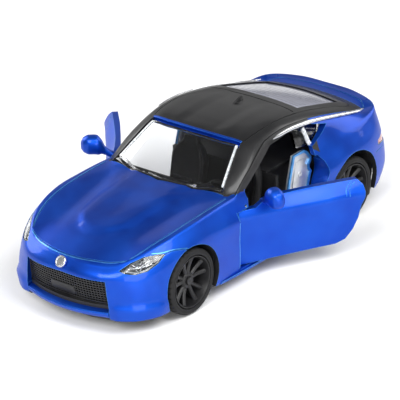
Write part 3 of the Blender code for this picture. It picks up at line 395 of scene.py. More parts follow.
def loft_mesh(rings, closed=False):
    """Rings of points joined in order; the ends are capped unless the loft closes on itself."""
    bm = bmesh.new()
    made = [[bm.verts.new(p) for p in ring] for ring in rings]
    pairs = list(zip(made, made[1:] + (made[:1] if closed else [])))
    for first, second in pairs:
        count = len(first)
        for k in range(count):
            j = (k + 1) % count
            bm.faces.new((first[k], first[j], second[j], second[k]))
    if not closed:
        bm.faces.new(made[0])
        bm.faces.new(made[-1])
    bmesh.ops.recalc_face_normals(bm, faces=bm.faces)
    return mesh_from(bm)


def prism_mesh(outline, axis, low, high):
    order = {
        "X": lambda d, a, b: (d, a, b), "Y": lambda d, a, b: (a, d, b), "Z": lambda d, a, b: (a, b, d)
    }[axis]
    return loft_mesh([[order(depth, a, b) for a, b in outline] for depth in (low, high)])


def box_mesh(low, high):
    outline = [(low[0], low[1]), (high[0], low[1]), (high[0], high[1]), (low[0], high[1])]
    return prism_mesh(outline, "Z", low[2], high[2])


def turned_mesh(profile, segments=64):
    """Closed (x, radius) profile turned about the X axis; a radius of 0 lies on the axis."""
    bm = bmesh.new()
    rings = []
    for x, radius in profile:
        if radius == 0:
            rings.append([bm.verts.new((x, 0, 0))] * segments)
            continue
        rings.append([bm.verts.new((x, radius * math.cos(a), radius * math.sin(a))) for a in turns(segments)])
    pairs = list(zip(rings, rings[1:] + rings[:1]))
    if profile[0][1] == 0:
        pairs.pop()
    for first, second in pairs:
        for k in range(segments):
            j = (k + 1) % segments
            corners = []
            for v in (first[k], first[j], second[j], second[k]):
                if v not in corners:
                    corners.append(v)
            bm.faces.new(corners)
    bmesh.ops.recalc_face_normals(bm, faces=bm.faces)
    return mesh_from(bm)


def rod_mesh(radius, low, high, segments=24):
    return turned_mesh([(low, 0), (low, radius), (high, radius), (high, 0)], segments)


def tube_mesh(path, radius, sides=8):
    """Round bar along a path."""
    rings = []
    for i, p in enumerate(path):
        ahead = (path[min(i + 1, len(path) - 1)] - path[max(i - 1, 0)]).normalized()
        across = ahead.cross(Vector((0.31, 0.17, 0.93))).normalized()
        up = across.cross(ahead).normalized()
        rings.append([
            p + (across * math.cos(a) + up * math.sin(a)) * radius
            for a in turns(sides)
        ])
    return loft_mesh(rings)


def strip_mesh(spots, width, above, below):
    """Rectangular bar along (point, normal) spots of a skin, reaching above and below it."""
    rings = []
    for i, (p, n) in enumerate(spots):
        ahead = (spots[min(i + 1, len(spots) - 1)][0] - spots[max(i - 1, 0)][0]).normalized()
        across = ahead.cross(n).normalized() * (width / 2)
        rings.append(
            [p + across + n * above, p - across + n * above, p - across - n * below, p + across - n * below]
        )
    return loft_mesh(rings)


def rounded(mesh, radius, segments=2, angle=30):
    """Bevels the mesh's hard edges."""
    bm = bmesh.new()
    bm.from_mesh(mesh)
    bmesh.ops.remove_doubles(bm, verts=bm.verts, dist=0.002)
    edges = [e for e in bm.edges if len(e.link_faces) == 2 and e.calc_face_angle(0) > math.radians(angle)]
    bmesh.ops.bevel(
        bm, geom=edges, offset=radius, offset_type="OFFSET", segments=segments, profile=0.5,
        affect="EDGES", clamp_overlap=True,
    )
    bm.to_mesh(mesh)
    bm.free()
    return mesh


def joined(*meshes):
    bm = bmesh.new()
    for mesh in meshes:
        bm.from_mesh(mesh)
    return mesh_from(bm)


def both_sides(outline):
    right = [(-x, y) for x, y in reversed(outline) if x > 0]
    return list(outline) + right


def shrunk(outline, gap):
    """The outline with each side moved inwards by gap."""
    count = len(outline)
    area = sum(
        outline[i][0] * outline[(i + 1) % count][1] - outline[(i + 1) % count][0] * outline[i][1]
        for i in range(count)
    )
    turn = 1 if area > 0 else -1
    result = []
    for i in range(count):
        here = Vector(outline[i])
        into = (here - Vector(outline[i - 1])).normalized()
        out = (Vector(outline[(i + 1) % count]) - here).normalized()
        normal_in = Vector((-into.y, into.x)) * turn
        normal_out = Vector((-out.y, out.x)) * turn
        share = 1 + normal_in.dot(normal_out)
        result.append(tuple(here + (normal_in + normal_out) * (gap / share)))
    return result


def shrunk_half(outline, gap):
    full = shrunk(both_sides(outline), gap)[: len(outline)]
    return [(0.0 if half[0] == 0 else x, y) for (x, y), half in zip(full, outline)]


def lamp_prism(points, direction, reach, behind=None):
    along = Vector(direction).normalized()
    rings = [[Vector(p) + along * depth for p in points] for depth in (-(behind or reach), reach)]
    return loft_mesh(rings)


def shrunk_ring(points, factor):
    middle = sum((Vector(p) for p in points), Vector()) / len(points)
    return [middle + (Vector(p) - middle) * factor for p in points]


def combined(mesh, operation, *tools):
    """The mesh after a Boolean with each tool in turn."""
    target = bpy.data.objects.new("target", mesh)
    bpy.context.scene.collection.objects.link(target)
    for tool_mesh in tools:
        tool = bpy.data.objects.new("tool", tool_mesh)
        bpy.context.scene.collection.objects.link(tool)
        modifier = target.modifiers.new("combine", "BOOLEAN")
        modifier.operation = operation
        modifier.solver = "MANIFOLD"
        modifier.object = tool
        graph = bpy.context.evaluated_depsgraph_get()
        result = bpy.data.meshes.new_from_object(target.evaluated_get(graph))
        if not result.polygons or len(result.polygons) == len(
            target.data.polygons
        ) and operation == "INTERSECT":
            modifier.solver = "EXACT"
            graph = bpy.context.evaluated_depsgraph_get()
            result = bpy.data.meshes.new_from_object(target.evaluated_get(graph))
        target.modifiers.clear()
        target.data = result
        bpy.data.objects.remove(tool)
    result = target.data
    bpy.data.objects.remove(target)
    return result


def cut(mesh, *tools):
    return combined(mesh, "DIFFERENCE", *tools)


def kept(mesh, *tools):
    return combined(mesh, "INTERSECT", *tools)


def united(mesh, *tools):
    return combined(mesh, "UNION", *tools)


# ---------------------------------------------------------------- skin lookups
class Skin:
    """Smooth reference for one skin: where it lies and which way it faces."""

    def __init__(self, mesh):
        self.mesh = mesh
        self.mesh.calc_loop_triangles()
        self.points = [v.co.copy() for v in mesh.vertices]
        self.normals = [v.normal.copy() for v in mesh.vertices]
        self.corners = [tuple(t.vertices) for t in mesh.loop_triangles]
        self.tree = BVHTree.FromPolygons(self.points, self.corners)

    def normal_at(self, place, index):
        a, b, c = self.corners[index]
        pa, pb, pc = self.points[a], self.points[b], self.points[c]
        whole = (pb - pa).cross(pc - pa)
        area = max(whole.length_squared, 1e-12)
        wa = max((pc - pb).cross(place - pb).dot(whole) / area, 0)
        wb = max((pa - pc).cross(place - pc).dot(whole) / area, 0)
        wc = max(1 - wa - wb, 0)
        return (self.normals[a] * wa + self.normals[b] * wb + self.normals[c] * wc).normalized()

    def hit(self, start, direction):
        place, _, index, _ = self.tree.ray_cast(Vector(start), Vector(direction))
        return (place, self.normal_at(place, index)) if place else None

    def from_above(self, path):
        return [s for s in (self.hit((p.x, p.y, 60), (0, 0, -1)) for p in path) if s]

    def from_left(self, path):
        """Spots of a (y, z) path on the left flank."""
        return [s for s in (self.hit((60, p.x, p.y), (-1, 0, 0)) for p in path) if s]

    def from_front(self, path):
        return [s for s in (self.hit((p.x, -90, p.y), (0, 1, 0)) for p in path) if s]

    def from_behind(self, path):
        return [s for s in (self.hit((p.x, 90, p.y), (0, -1, 0)) for p in path) if s]

    def nearest(self, point):
        place, _, index, _ = self.tree.find_nearest(point)
        return place, self.normal_at(place, index)


def follow_skin(mesh, skin, reach=0.03, angle=32):
    """Takes the shading of faces on the skin from the uncut skin, so cuts leave no dents in it."""
    mesh.shade_smooth()
    mesh.set_sharp_from_angle(angle=math.radians(angle))
    on_skin = {}
    for polygon in mesh.polygons:
        place, _, index, distance = skin.tree.find_nearest(polygon.center)
        if distance < reach and skin.normal_at(place, index).dot(polygon.normal) > 0.86:
            on_skin[polygon.index] = True
    sides = {}
    for polygon in mesh.polygons:
        for key in polygon.edge_keys:
            sides.setdefault(key, set()).add(polygon.index in on_skin)
    sharp = mesh.attributes.get("sharp_edge") or mesh.attributes.new("sharp_edge", "BOOLEAN", "EDGE")
    for edge in mesh.edges:
        if len(sides.get(edge.key, ())) == 2:
            sharp.data[edge.index].value = True
    normals = [n.vector.copy() for n in mesh.corner_normals]
    for polygon in mesh.polygons:
        if polygon.index not in on_skin:
            continue
        for loop in polygon.loop_indices:
            point = mesh.vertices[mesh.loops[loop].vertex_index].co
            place, _, index, _ = skin.tree.find_nearest(point)
            normal = skin.normal_at(place, index)
            if normal.dot(polygon.normal) > 0.6:
                normals[loop] = normal
    mesh.normals_split_custom_set([n.normalized() if n.length > 0 else Vector((0, 0, 1)) for n in normals])
    return mesh


# ---------------------------------------------------------------- materials
# radius over which the painted edge highlight is mixed in
EDGE_HIGHLIGHT_RADIUS = 0.2
GRAIN_DETAIL = 2.0


def grain(tree, scale, kind="NOISE"):
    """A noise or cell pattern fixed to the object, with its size given in millimetres."""
    coordinates = tree.nodes.new("ShaderNodeTexCoord")
    pattern = tree.nodes.new("ShaderNodeTexNoise" if kind == "NOISE" else "ShaderNodeTexVoronoi")
    pattern.inputs["Scale"].default_value = 1 / (scale * MM)
    if kind == "NOISE":
        pattern.inputs["Detail"].default_value = GRAIN_DETAIL
    tree.links.new(coordinates.outputs["Object"], pattern.inputs["Vector"])
    return pattern


def blend_colours(tree, factor, dark, light, low=0.3, high=0.7):
    ramp = tree.nodes.new("ShaderNodeValToRGB")
    ramp.color_ramp.elements[0].position = low
    ramp.color_ramp.elements[1].position = high
    ramp.color_ramp.elements[0].color = (*dark, 1)
    ramp.color_ramp.elements[1].color = (*light, 1)
    tree.links.new(factor, ramp.inputs["Fac"])
    return ramp.outputs["Color"]


def spread(tree, factor, low, high):
    """A value that runs from low to high with the pattern."""
    run = tree.nodes.new("ShaderNodeMapRange")
    run.inputs["From Min"].default_value = 0.3
    run.inputs["From Max"].default_value = 0.7
    run.inputs["To Min"].default_value = low
    run.inputs["To Max"].default_value = high
    tree.links.new(factor, run.inputs["Value"])
    return run.outputs["Result"]


def painted_edge_highlight(tree, colour, highlight_colour):
    """Painted highlight: a thin light line mixed into the colour along sharp edges, where edges would catch
    the light.
    """
    soft = tree.nodes.new("ShaderNodeBevel")
    soft.samples = 6
    soft.inputs["Radius"].default_value = EDGE_HIGHLIGHT_RADIUS * MM
    plain = tree.nodes.new("ShaderNodeNewGeometry")
    alike = tree.nodes.new("ShaderNodeVectorMath")
    alike.operation = "DOT_PRODUCT"
    tree.links.new(soft.outputs["Normal"], alike.inputs[0])
    tree.links.new(plain.outputs["Normal"], alike.inputs[1])
    amount = tree.nodes.new("ShaderNodeMapRange")
    amount.inputs["From Min"].default_value = 0.985
    amount.inputs["From Max"].default_value = 0.86
    amount.inputs["To Max"].default_value = 0.85
    tree.links.new(alike.outputs["Value"], amount.inputs["Value"])
    mix = tree.nodes.new("ShaderNodeMix")
    mix.data_type = "RGBA"
    first, second = [i for i in mix.inputs if i.type == "RGBA"]
    tree.links.new(amount.outputs["Result"], mix.inputs[0])
    tree.links.new(colour, first)
    second.default_value = (*highlight_colour, 1)
    return [o for o in mix.outputs if o.type == "RGBA"][0]


def finish_look(
    name, dark, light, roughness, metallic=0.0, mottle=4.0, fine=0.12, bump=0.03, coat=0.0,
    coat_roughness=0.05, transmission=0.0, ior=1.5, edge=0.0, cells=False, specular=0.5, alpha=1.0, edge_highlight_tint=None,
):
    """Procedural finish: colour drifts over `mottle` mm, and grain `fine` mm across breaks up the surface."""
    made = bpy.data.materials.new(name)
    made.use_nodes = True
    tree = made.node_tree
    shader = tree.nodes["Principled BSDF"]
    broad = grain(tree, mottle)
    colour = blend_colours(tree, broad.outputs["Fac"], dark, light)
    # a painted highlight: a lighter colour mixed in along sharp edges
    if edge_highlight_tint:
        colour = painted_edge_highlight(tree, colour, edge_highlight_tint)
    tree.links.new(colour, shader.inputs["Base Color"])
    tight = grain(tree, fine, "CELLS" if cells else "NOISE")
    signal = tight.outputs["Distance" if cells else "Fac"]
    low, high = roughness
    tree.links.new(spread(tree, broad.outputs["Fac"], low, high), shader.inputs["Roughness"])
    shader.inputs["Metallic"].default_value = metallic
    shader.inputs["Coat Weight"].default_value = coat
    shader.inputs["Coat Roughness"].default_value = coat_roughness
    shader.inputs["Transmission Weight"].default_value = transmission
    shader.inputs["IOR"].default_value = ior
    shader.inputs["Specular IOR Level"].default_value = specular
    shader.inputs["Alpha"].default_value = alpha
    lift = tree.nodes.new("ShaderNodeBump")
    lift.inputs["Strength"].default_value = 0.6
    lift.inputs["Distance"].default_value = bump * MM
    tree.links.new(signal, lift.inputs["Height"])
    if edge:
        soft = tree.nodes.new("ShaderNodeBevel")
        soft.samples = 4
        soft.inputs["Radius"].default_value = edge * MM
        tree.links.new(soft.outputs["Normal"], lift.inputs["Normal"])
        if coat:
            tree.links.new(soft.outputs["Normal"], shader.inputs["Coat Normal"])
    tree.links.new(lift.outputs["Normal"], shader.inputs["Normal"])
    return made


# the lighter cyan given at the end is a painted highlight along the paint's sharp edges
PAINT = finish_look(
    "metallic_blue_paint", (0.002, 0.052, 0.44), (0.005, 0.078, 0.53), (0.44, 0.54), metallic=0.9, mottle=9.0,
    fine=0.11, bump=0.014, coat=0.25, coat_roughness=0.08, edge=0.14, cells=True, edge_highlight_tint=(0.08, 0.36, 0.76),
)
# light blue for the bright lines along edges: a painted highlight
EDGE_HIGHLIGHT_PAINT = finish_look(
    "painted_highlight_line", (0.05, 0.25, 0.62), (0.1, 0.4, 0.8), (0.3, 0.4), metallic=0.8, mottle=1.2, fine=0.1,
    bump=0.01, coat=0.4,
)
ROOF_BLACK = finish_look(
    "roof_black_paint", (0.004, 0.004, 0.005), (0.009, 0.009, 0.01), (0.34, 0.44), mottle=7.0, fine=0.15,
    bump=0.01, coat=0.3, coat_roughness=0.14, edge=0.15, specular=0.4,
)
SATIN = finish_look(
    "satin_black_plastic", (0.007, 0.007, 0.008), (0.014, 0.014, 0.015), (0.42, 0.55), mottle=3.0, fine=0.18,
    bump=0.03, edge=0.12,
)
LEATHER = finish_look(
    "moulded_cabin_plastic", (0.004, 0.004, 0.005), (0.011, 0.011, 0.012), (0.5, 0.66), mottle=2.5, fine=0.3,
    bump=0.06, cells=True, specular=0.35,
)
RUBBER = finish_look(
    "tyre_rubber", (
        0.006, 0.006, 0.0065
    ), (0.013, 0.013, 0.014), (0.62, 0.8), mottle=2.0, fine=0.14, bump=0.03,
    specular=0.3,
)
WHEEL_BLACK = finish_look(
    "wheel_black_paint", (0.005, 0.005, 0.006), (0.011, 0.011, 0.012), (0.38, 0.5), mottle=2.4, fine=0.12,
    bump=0.015, coat=0.1, coat_roughness=0.25, edge=0.1, specular=0.35,
)
CLEAR = finish_look(
    "clear_plastic", (0.93, 0.95, 0.97), (0.98, 0.99, 1.0), (0.01, 0.05), mottle=6.0, fine=1.4, bump=0.004,
    transmission=1.0, ior=1.46,
)
# pale grey-lilac for the rear glass: a painted reflection of the bright surroundings
REAR_GLASS_REFLECTION = finish_look(
    "rear_glass_painted_reflection", (0.42, 0.43, 0.52), (0.5, 0.51, 0.6), (0.12, 0.2), mottle=6.0, fine=0.9, bump=0.006,
    transmission=0.35, ior=1.46, coat=0.6, coat_roughness=0.05,
)
# whitish glass for bright lines along glass and lens edges: a painted highlight
GLASS_EDGE_HIGHLIGHT = finish_look(
    "glass_edge_painted_highlight", (0.62, 0.66, 0.7), (0.92, 0.94, 0.96), (0.18, 0.35), mottle=1.1, fine=0.2, bump=0.03,
    transmission=0.35, ior=1.46,
)
CHROME = finish_look(
    "chromed_reflector", (0.62, 0.63, 0.65), (0.82, 0.83, 0.85), (0.06, 0.16), metallic=1.0, mottle=1.2,
    fine=0.25, bump=0.02,
)
SILVER = finish_look(
    "silver_trim", (0.58, 0.59, 0.61), (0.75, 0.76, 0.78), (0.2, 0.3), metallic=0.85, mottle=2.5, fine=0.12,
    bump=0.012, edge=0.08,
)
JAMB_SILVER = finish_look(
    "jamb_silver_paint", (0.42, 0.44, 0.47), (0.62, 0.64, 0.67), (0.3, 0.42), metallic=0.6, mottle=2.4,
    fine=0.14, bump=0.02, cells=True, edge=0.1,
)
STEEL = finish_look(
    "bright_steel", (0.5, 0.5, 0.51), (0.66, 0.66, 0.67), (0.22, 0.34), metallic=1.0, mottle=1.5, fine=0.08,
    bump=0.02,
)
RED = finish_look(
    "red_lamp_plastic", (0.35, 0.004, 0.006), (0.6, 0.008, 0.012), (0.06, 0.14), mottle=2.2, fine=0.5,
    bump=0.01, coat=0.8, coat_roughness=0.04, transmission=0.25,
)
NYLON = finish_look(
    "white_nylon", (0.68, 0.67, 0.62), (0.8, 0.79, 0.74), (0.4, 0.52), mottle=2.0, fine=0.2, bump=0.02,
)
GREY_PLASTIC = finish_look(
    "grey_motor_plastic", (0.05, 0.052, 0.056), (0.08, 0.082, 0.088), (0.45, 0.6), mottle=3.0, fine=0.2,
    bump=0.03,
)
LAMP_GREY = finish_look(
    "lamp_bowl_grey", (
        0.07, 0.072, 0.078
    ), (0.2, 0.205, 0.215), (0.25, 0.4), metallic=0.7, mottle=1.6, fine=0.22,
    bump=0.02,
)
LAMP_BLACK = finish_look(
    "lamp_surround", (
        0.004, 0.004, 0.005
    ), (0.009, 0.009, 0.01), (0.12, 0.22), mottle=1.5, fine=0.2, bump=0.01,
    coat=0.6, coat_roughness=0.05,
)


# ---------------------------------------------------------------- placing
def door_swing(side_name):
    """Turn of a door modelled shut to where it stands at rest, taken from the joint's range."""
    sign = 1 if side_name == "left" else -1
    low, high = joint_range(side_name + "_door_hinge")
    degrees = -high if sign > 0 else -low
    pivot = at(sign * HINGE[0], HINGE[1], 0)
    return pivot @ Matrix.Rotation(math.radians(degrees), 4, "Z") @ pivot.inverted()


def place(name, mesh, look, slot, body="car_body", stands_for=(), turn=None, smooth=35):
    """Puts a mesh written in the car's frame into the shared frame as a finished piece."""
    if turn is not None:
        moved(mesh, turn)
    mesh.transform(CAR)
    if smooth is not None:
        mesh.shade_smooth()
        mesh.set_sharp_from_angle(angle=math.radians(smooth))
    obj = bpy.data.objects.new(name, mesh)
    bpy.context.scene.collection.objects.link(obj)
    obj.data.materials.clear()
    obj.data.materials.append(look)
    for polygon in obj.data.polygons:
        polygon.material_index = 0
    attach(obj, body)
    if stands_for:
        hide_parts(*stands_for)
    return obj


def paired(name, build, look, slot, **options):
    """A piece on the left and its mirror image on the right."""
    for side_name, side in SIDES:
        place(f"{name}_{side_name}", moved(build(), side), look, slot, **options)


skin_mesh = hull_mesh(cuts=SKIN_CUTS, pressed=True)
skin = Skin(skin_mesh)


# ---------------------------------------------------------------- body
def arch_mesh(arch, x_low, x_high):
    y, z, radius = arch
    return moved(rod_mesh(radius, x_low, x_high, 72), at(0, y, z))


GROOVE_WIDTH = 0.3
GROOVE_DEPTH = 0.4


def groove(spots, width=GROOVE_WIDTH, depth=GROOVE_DEPTH):
    return strip_mesh(spots, width, 0.5, depth)


def body_grooves():
    """Shut lines of bonnet, bumpers, tailgate and filler flap."""
    front = smooth_path(
        [
            (-16.4, -52.6), (-10.9, -55.3), (-5.2, -57.1), (0, -57.6), (5.2, -57.1), (10.9, -55.3),
            (16.4, -52.6)
        ],
        40
    )
    tools = [groove(skin.from_above(front), 0.26, 0.35)]
    bonnet_side = smooth_path(
        [(16.9, -52.0), (18.3, -48.4), (20.0, -42.0), (20.9, -31.9), (21.0, -22.9), (20.9, -16.3)], 44
    )
    bumper = smooth_path([(-45.2, 20.5), (-42.5, 20.8), (-39.5, 20.3), (-37.4, 19.7)], 14)
    rear_bumper = smooth_path([(46.0, 16.6), (50.4, 16.4), (54.5, 16.4)], 16)
    tailgate = smooth_path([(17.9, 46.5), (17.6, 50.4), (15.0, 53.2), (8.0, 54.4), (0, 54.8)], 34)
    boot = smooth_path([(-7.6, 16.4), (-7.2, 11.2), (-6.4, 10.8), (6.4, 10.8), (7.2, 11.2), (7.6, 16.4)], 40)
    left = [
        groove(skin.from_above(bonnet_side), 0.26, 0.35),
        groove(skin.from_left(bumper), 0.22, 0.35),
        groove(skin.from_left(rear_bumper), 0.24, 0.35),
        groove(skin.from_above(tailgate), 0.24, 0.35),
    ]
    for tool in left:
        tools += [tool, moved(tool.copy(), FLIP_X)]
    flap = [
        Vector(
            (31.0 + 2.3 * math.cos(a), 22.4 + 1.6 * math.sin(a))
        ) for a in (2 * math.pi * k / 30 for k in range(31))
    ]
    tools.append(moved(groove(skin.from_left(flap), 0.2, 0.3), FLIP_X))
    tools.append(groove(skin.from_behind(boot), 0.24, 0.35))
    return tools


def body_shell():
    shell = skin_mesh.copy()
    seat = cut(prism_mesh(both_sides(ROOF_OUTLINE), "Z", 23.0, 45), hull_mesh(ROOF_SEAT, cuts=3))
    shell = cut(
        shell,
        seat,
        hull_mesh(CASTING, FLOOR_DROP),
        prism_mesh(both_sides(SCREEN_OUTLINE), "Z", CUT_LOW, CUT_HIGH),
        prism_mesh(both_sides(shrunk_half(TAILGATE_GLASS, 0.5)), "Z", CUT_LOW, CUT_HIGH),
        prism_mesh(WINDOW_OUTLINE, "X", -CUT_HALF, CUT_HALF),
        prism_mesh(APERTURE_OUTLINE, "X", -CUT_HALF, CUT_HALF),
        prism_mesh(both_sides(GRILLE), "Y", -70, -50),
        box_mesh((-LIP_HALF, -70, 3), (LIP_HALF, -54, 7.4)),
    )
    for _, side in SIDES:
        shell = cut(
            shell,
            moved(arch_mesh(FRONT_ARCH, 15, 30), side),
            moved(arch_mesh(REAR_ARCH, 15, 30), side),
            moved(lamp_prism(HEADLAMP, HEADLAMP_FACING, 4), side),
            moved(prism_mesh(TAIL_LAMP, "Y", 48, 62), side),
            moved(rod_mesh(0.5, 2, 22.2, 16), side @ at(*HINGE, 0) @ UPRIGHT),
        )
    shell = cut(shell, *body_grooves())
    jamb = kept(prism_mesh(DOOR_JAMB, "X", 20.3, 30), hull_mesh(0.7, cuts=3))
    shell = united(shell, jamb, moved(jamb.copy(), FLIP_X))
    for y, top in SCREW_POSTS:
        shell = united(shell, moved(rod_mesh(POST_RADIUS, POST_FOOT, top), at(0, y, 0) @ UPRIGHT))
        shell = cut(shell, moved(rod_mesh(PILOT_RADIUS, 2, 12), at(0, y, 0) @ UPRIGHT))
    follow_skin(shell, skin)
    black_and_shaded_faces = [polygon.index for polygon in shell.polygons if in_black_or_shaded_area(polygon)]
    car = place("car_shell", shell, PAINT, "body_paint", stands_for=["body_shell"], smooth=None)
    car.data.materials.append(SATIN)
    for index in black_and_shaded_faces:
        car.data.polygons[index].material_index = 1


def in_black_or_shaded_area(polygon):
    """Faces of the window frames, which are black, and of the wheel arches, made black as painted shade in
    the wheel wells.
    """
    middle = polygon.center
    if 25.4 < middle.z and -16 < middle.y < 23 and abs(middle.x) > 14.9:
        return True
    # wheel-arch faces are made black as painted shade in the wheel wells
    for y, z, radius in (FRONT_ARCH, REAR_ARCH):
        if math.hypot(middle.y - y, middle.z - z) < radius + 0.02 and abs(middle.x) > 14:
            return True
    return False


def edge_lines():
    """Fine bright lines that are painted highlights: bonnet edges, lamp line and the door openings."""
    front = smooth_path(
        [
            (-16.2, -52.9), (-10.9, -55.75), (-5.2, -57.55), (0, -58.05), (5.2, -57.55), (10.9, -55.75),
            (16.2, -52.9)
        ],
        40
    )
    lines = [strip_mesh(skin.from_above(front), 0.24, 0.07, 0.2)]
    bonnet = smooth_path(
        [(17.2, -51.6), (18.6, -48.2), (20.3, -42.0), (21.2, -31.9), (21.3, -22.9), (21.2, -16.6)], 44
    )
    fender = smooth_path([(-15.75, 5.4), (-15.75, 12.0), (-15.75, 18.0), (-15.75, 21.6)], 16)
    lamp = smooth_path([(-47.4, 21.2), (-45.0, 21.0), (-42.5, 21.05), (-39.5, 20.6), (-37.6, 20.1)], 14)
    for path, finder in ((bonnet, skin.from_above), (fender, skin.from_left), (lamp, skin.from_left)):
        line = strip_mesh(finder(path), 0.2, 0.05, 0.2)
        lines += [line, moved(line.copy(), FLIP_X)]
    place("paint_lines", joined(*lines), EDGE_HIGHLIGHT_PAINT, "body_paint")


def roof():
    panel = kept(skin_mesh.copy(), prism_mesh(both_sides(shrunk_half(ROOF_OUTLINE, 0.15)), "Z", 23.2, 45))
    panel = cut(
        panel,
        hull_mesh(ROOF_DEPTH, cuts=3),
        prism_mesh(both_sides(SCREEN_IN_ROOF), "Z", CUT_LOW, CUT_HIGH),
        prism_mesh(both_sides(TAILGATE_GLASS), "Z", CUT_LOW, CUT_HIGH),
    )
    hatch = smooth_path([(0, 21.9), (6, 21.8), (11, 21.7), (15.2, 21.4)], 24)
    gutter = smooth_path([(15.75, -1.0), (16.1, 4.0), (16.1, 12.0), (15.9, 21.6)], 30)
    gap = groove(skin.from_above(hatch), 0.34, 0.3)
    rail = groove(skin.from_above(gutter), 0.3, 0.3)
    pillar = smooth_path([(15.9, 21.6), (15.6, 30.0), (15.2, 38.0), (14.7, 47.5), (8.0, 48.9), (0, 49.3)], 44)
    edge = groove(skin.from_above(pillar), 0.22, 0.25)
    for tool in (gap, rail, edge):
        panel = cut(panel, tool, moved(tool.copy(), FLIP_X))
    follow_skin(panel, skin)
    place("roof_skin", panel, ROOF_BLACK, "roof_black", stands_for=["roof_panel"], smooth=None)
    sections = [
        (13.0, 36.5, 0.7), (14.4, 37.1, 0.75), (16.0, 37.7, 0.7), (17.4, 38.0, 0.45), (18.2, 37.9, 0.2)
    ]
    rings = []
    for y, top, half in sections:
        ring = [(0, y - 0.1, top)]
        ring += [
            (half * s, y + 0.15, top - (top - 36.2) * t) for s, t in ((0.6, 0.25), (0.9, 0.7), (1.1, 1.0))
        ]
        ring += [
            (-half * s, y + 0.15, top - (top - 36.2) * t) for s, t in ((1.1, 1.0), (0.9, 0.7), (0.6, 0.25))
        ]
        rings.append(ring)
    place("roof_fin", loft_mesh(rings), ROOF_BLACK, "roof_black")


def header_strip():
    """Painted header between the windscreen and the black roof."""
    path = smooth_path([(-15.4, -1.75), (-9.2, -2.45), (0, -2.85), (9.2, -2.45), (15.4, -1.75)], 40)
    spots = [(p - n * 0.45, n) for p, n in skin.from_above(path)]
    place("header_strip", rounded(strip_mesh(spots, 0.75, 0.5, 0.3), 0.12), PAINT, "body_paint")


LIP_HALF = 14.2
GRILLE_LEAN = 0.17


def nose_lip():
    """Blade below the grille with its dark gap, and the black skirts under the bumper corners."""
    path = smooth_path([(-14.0, -57.75), (-8.0, -59.5), (0, -60.4), (8.0, -59.5), (14.0, -57.75)], 44)
    rings = []
    for p in path:
        rings.append([
            (p.x, p.y + 2.6, 6.7), (p.x, p.y + 0.2, 6.45), (p.x, p.y - 0.45, 6.15), (p.x, p.y - 0.6, 5.8),
            (p.x, p.y - 0.35, 5.1), (p.x, p.y + 0.2, 4.5), (p.x, p.y + 2.6, 4.3),
        ])
    place("nose_lip", rounded(loft_mesh(rings), 0.12, angle=50), PAINT, "body_paint", smooth=30)
    gap = []
    for p in path:
        gap.append(
            [(p.x, p.y + 2.4, 7.6), (p.x, p.y + 1.2, 7.6), (p.x, p.y + 1.2, 4.2), (p.x, p.y + 2.4, 4.2)]
        )
    place("lip_gap", loft_mesh(gap), SATIN, "satin_black")

    def skirt():
        spots = smooth_path([(14.6, -56.4), (18.4, -54.0), (21.4, -50.4), (23.0, -47.0)], 20)
        rings = []
        for p in spots:
            out = Vector((p.x, p.y + 30)).normalized()
            outer, inner = p + out * 0.55, p - out * 1.2
            rings.append([
                (outer.x, outer.y, 4.5), (outer.x, outer.y, 3.6), (p.x, p.y, 3.2), (inner.x, inner.y, 3.2),
                (inner.x, inner.y, 4.6),
            ])
        return loft_mesh(rings)

    paired("corner_skirt", skirt, SATIN, "satin_black")


def grille():
    """Mesh of fine bars in front of a dark plate, leaning back at its foot, with a blank plate holder."""
    outline = both_sides(shrunk_half(GRILLE, 0.1))
    face = Skin(hull_mesh(0.85, cuts=4))

    def leaned(mesh):
        for v in mesh.vertices:
            v.co.y += GRILLE_LEAN * (15.4 - v.co.z)
        return mesh

    back = kept(hull_mesh(1.35, cuts=3), prism_mesh(outline, "Y", -70, -50))
    back = cut(back, hull_mesh(2.6, 6))
    place("grille_plate", leaned(back), SATIN, "satin_black", stands_for=["front_grille"])
    bars = []
    for k in range(11):
        z = 7.5 + 0.76 * k
        half = 14.2 - (z - 7.1) * 0.8 / 8.2 - 0.2
        spots = face.from_front([Vector((-half + 2 * half * i / 30, z)) for i in range(31)])
        bars.append(strip_mesh(spots, 0.26, 0.12, 0.5))
    for k in range(33):
        x = -13.6 + 0.85 * k
        spots = face.from_front([Vector((x, 7.3 + 8.05 * i / 10)) for i in range(11)])
        if abs(x) > 13.2:
            spots = spots[:7]
        bars.append(strip_mesh(spots, 0.2, 0.05, 0.5))
    place("grille_mesh", leaned(joined(*bars)), SATIN, "satin_black")
    frame_path = [Vector(p) for p in outline] + [Vector(outline[0])]
    dense = []
    for a, b in zip(frame_path, frame_path[1:]):
        dense += [a.lerp(b, k / 10) for k in range(10)]
    spots = face.from_front(dense + [frame_path[-1]])
    place("grille_frame", leaned(strip_mesh(spots, 0.45, 0.3, 0.6)), SATIN, "satin_black")
    plate = []
    for a in turns(36):
        c, s = math.cos(a), math.sin(a)
        plate.append(
            Vector((-1 + 4.2 * math.copysign(abs(c) ** 0.4, c), 10.0 + 1.4 * math.copysign(abs(s) ** 0.4, s)))
        )
    rings = [[spot[0] - Vector((0, depth, 0)) for spot in face.from_front(plate)] for depth in (-0.4, 0.25)]
    place("plate_holder", leaned(rounded(loft_mesh(rings), 0.1)), SATIN, "satin_black")
    lower = []
    for z in (7.75, 8.35):
        spots = face.from_front([Vector((-13.6 + 27.2 * i / 30, z)) for i in range(31)])
        lower.append(strip_mesh(spots, 0.34, 0.35, 0.4))
    place("grille_slats", leaned(joined(*lower)), SATIN, "satin_black")


def badge():
    """Plain dished disc on the nose, with a raised rim and no mark."""
    profile = [(0, 0), (0, 1.62), (0.45, 1.62), (0.6, 1.5), (0.6, 1.28), (0.42, 1.16), (0.5, 0.6), (0.56, 0)]
    disc = moved(turned_mesh(profile, 40), Matrix.Rotation(math.radians(56), 4, "X") @ UPRIGHT)
    place("nose_badge", moved(disc, at(0, -60.0, 18.2)), SILVER, "silver_trim", stands_for=["front_badge"])


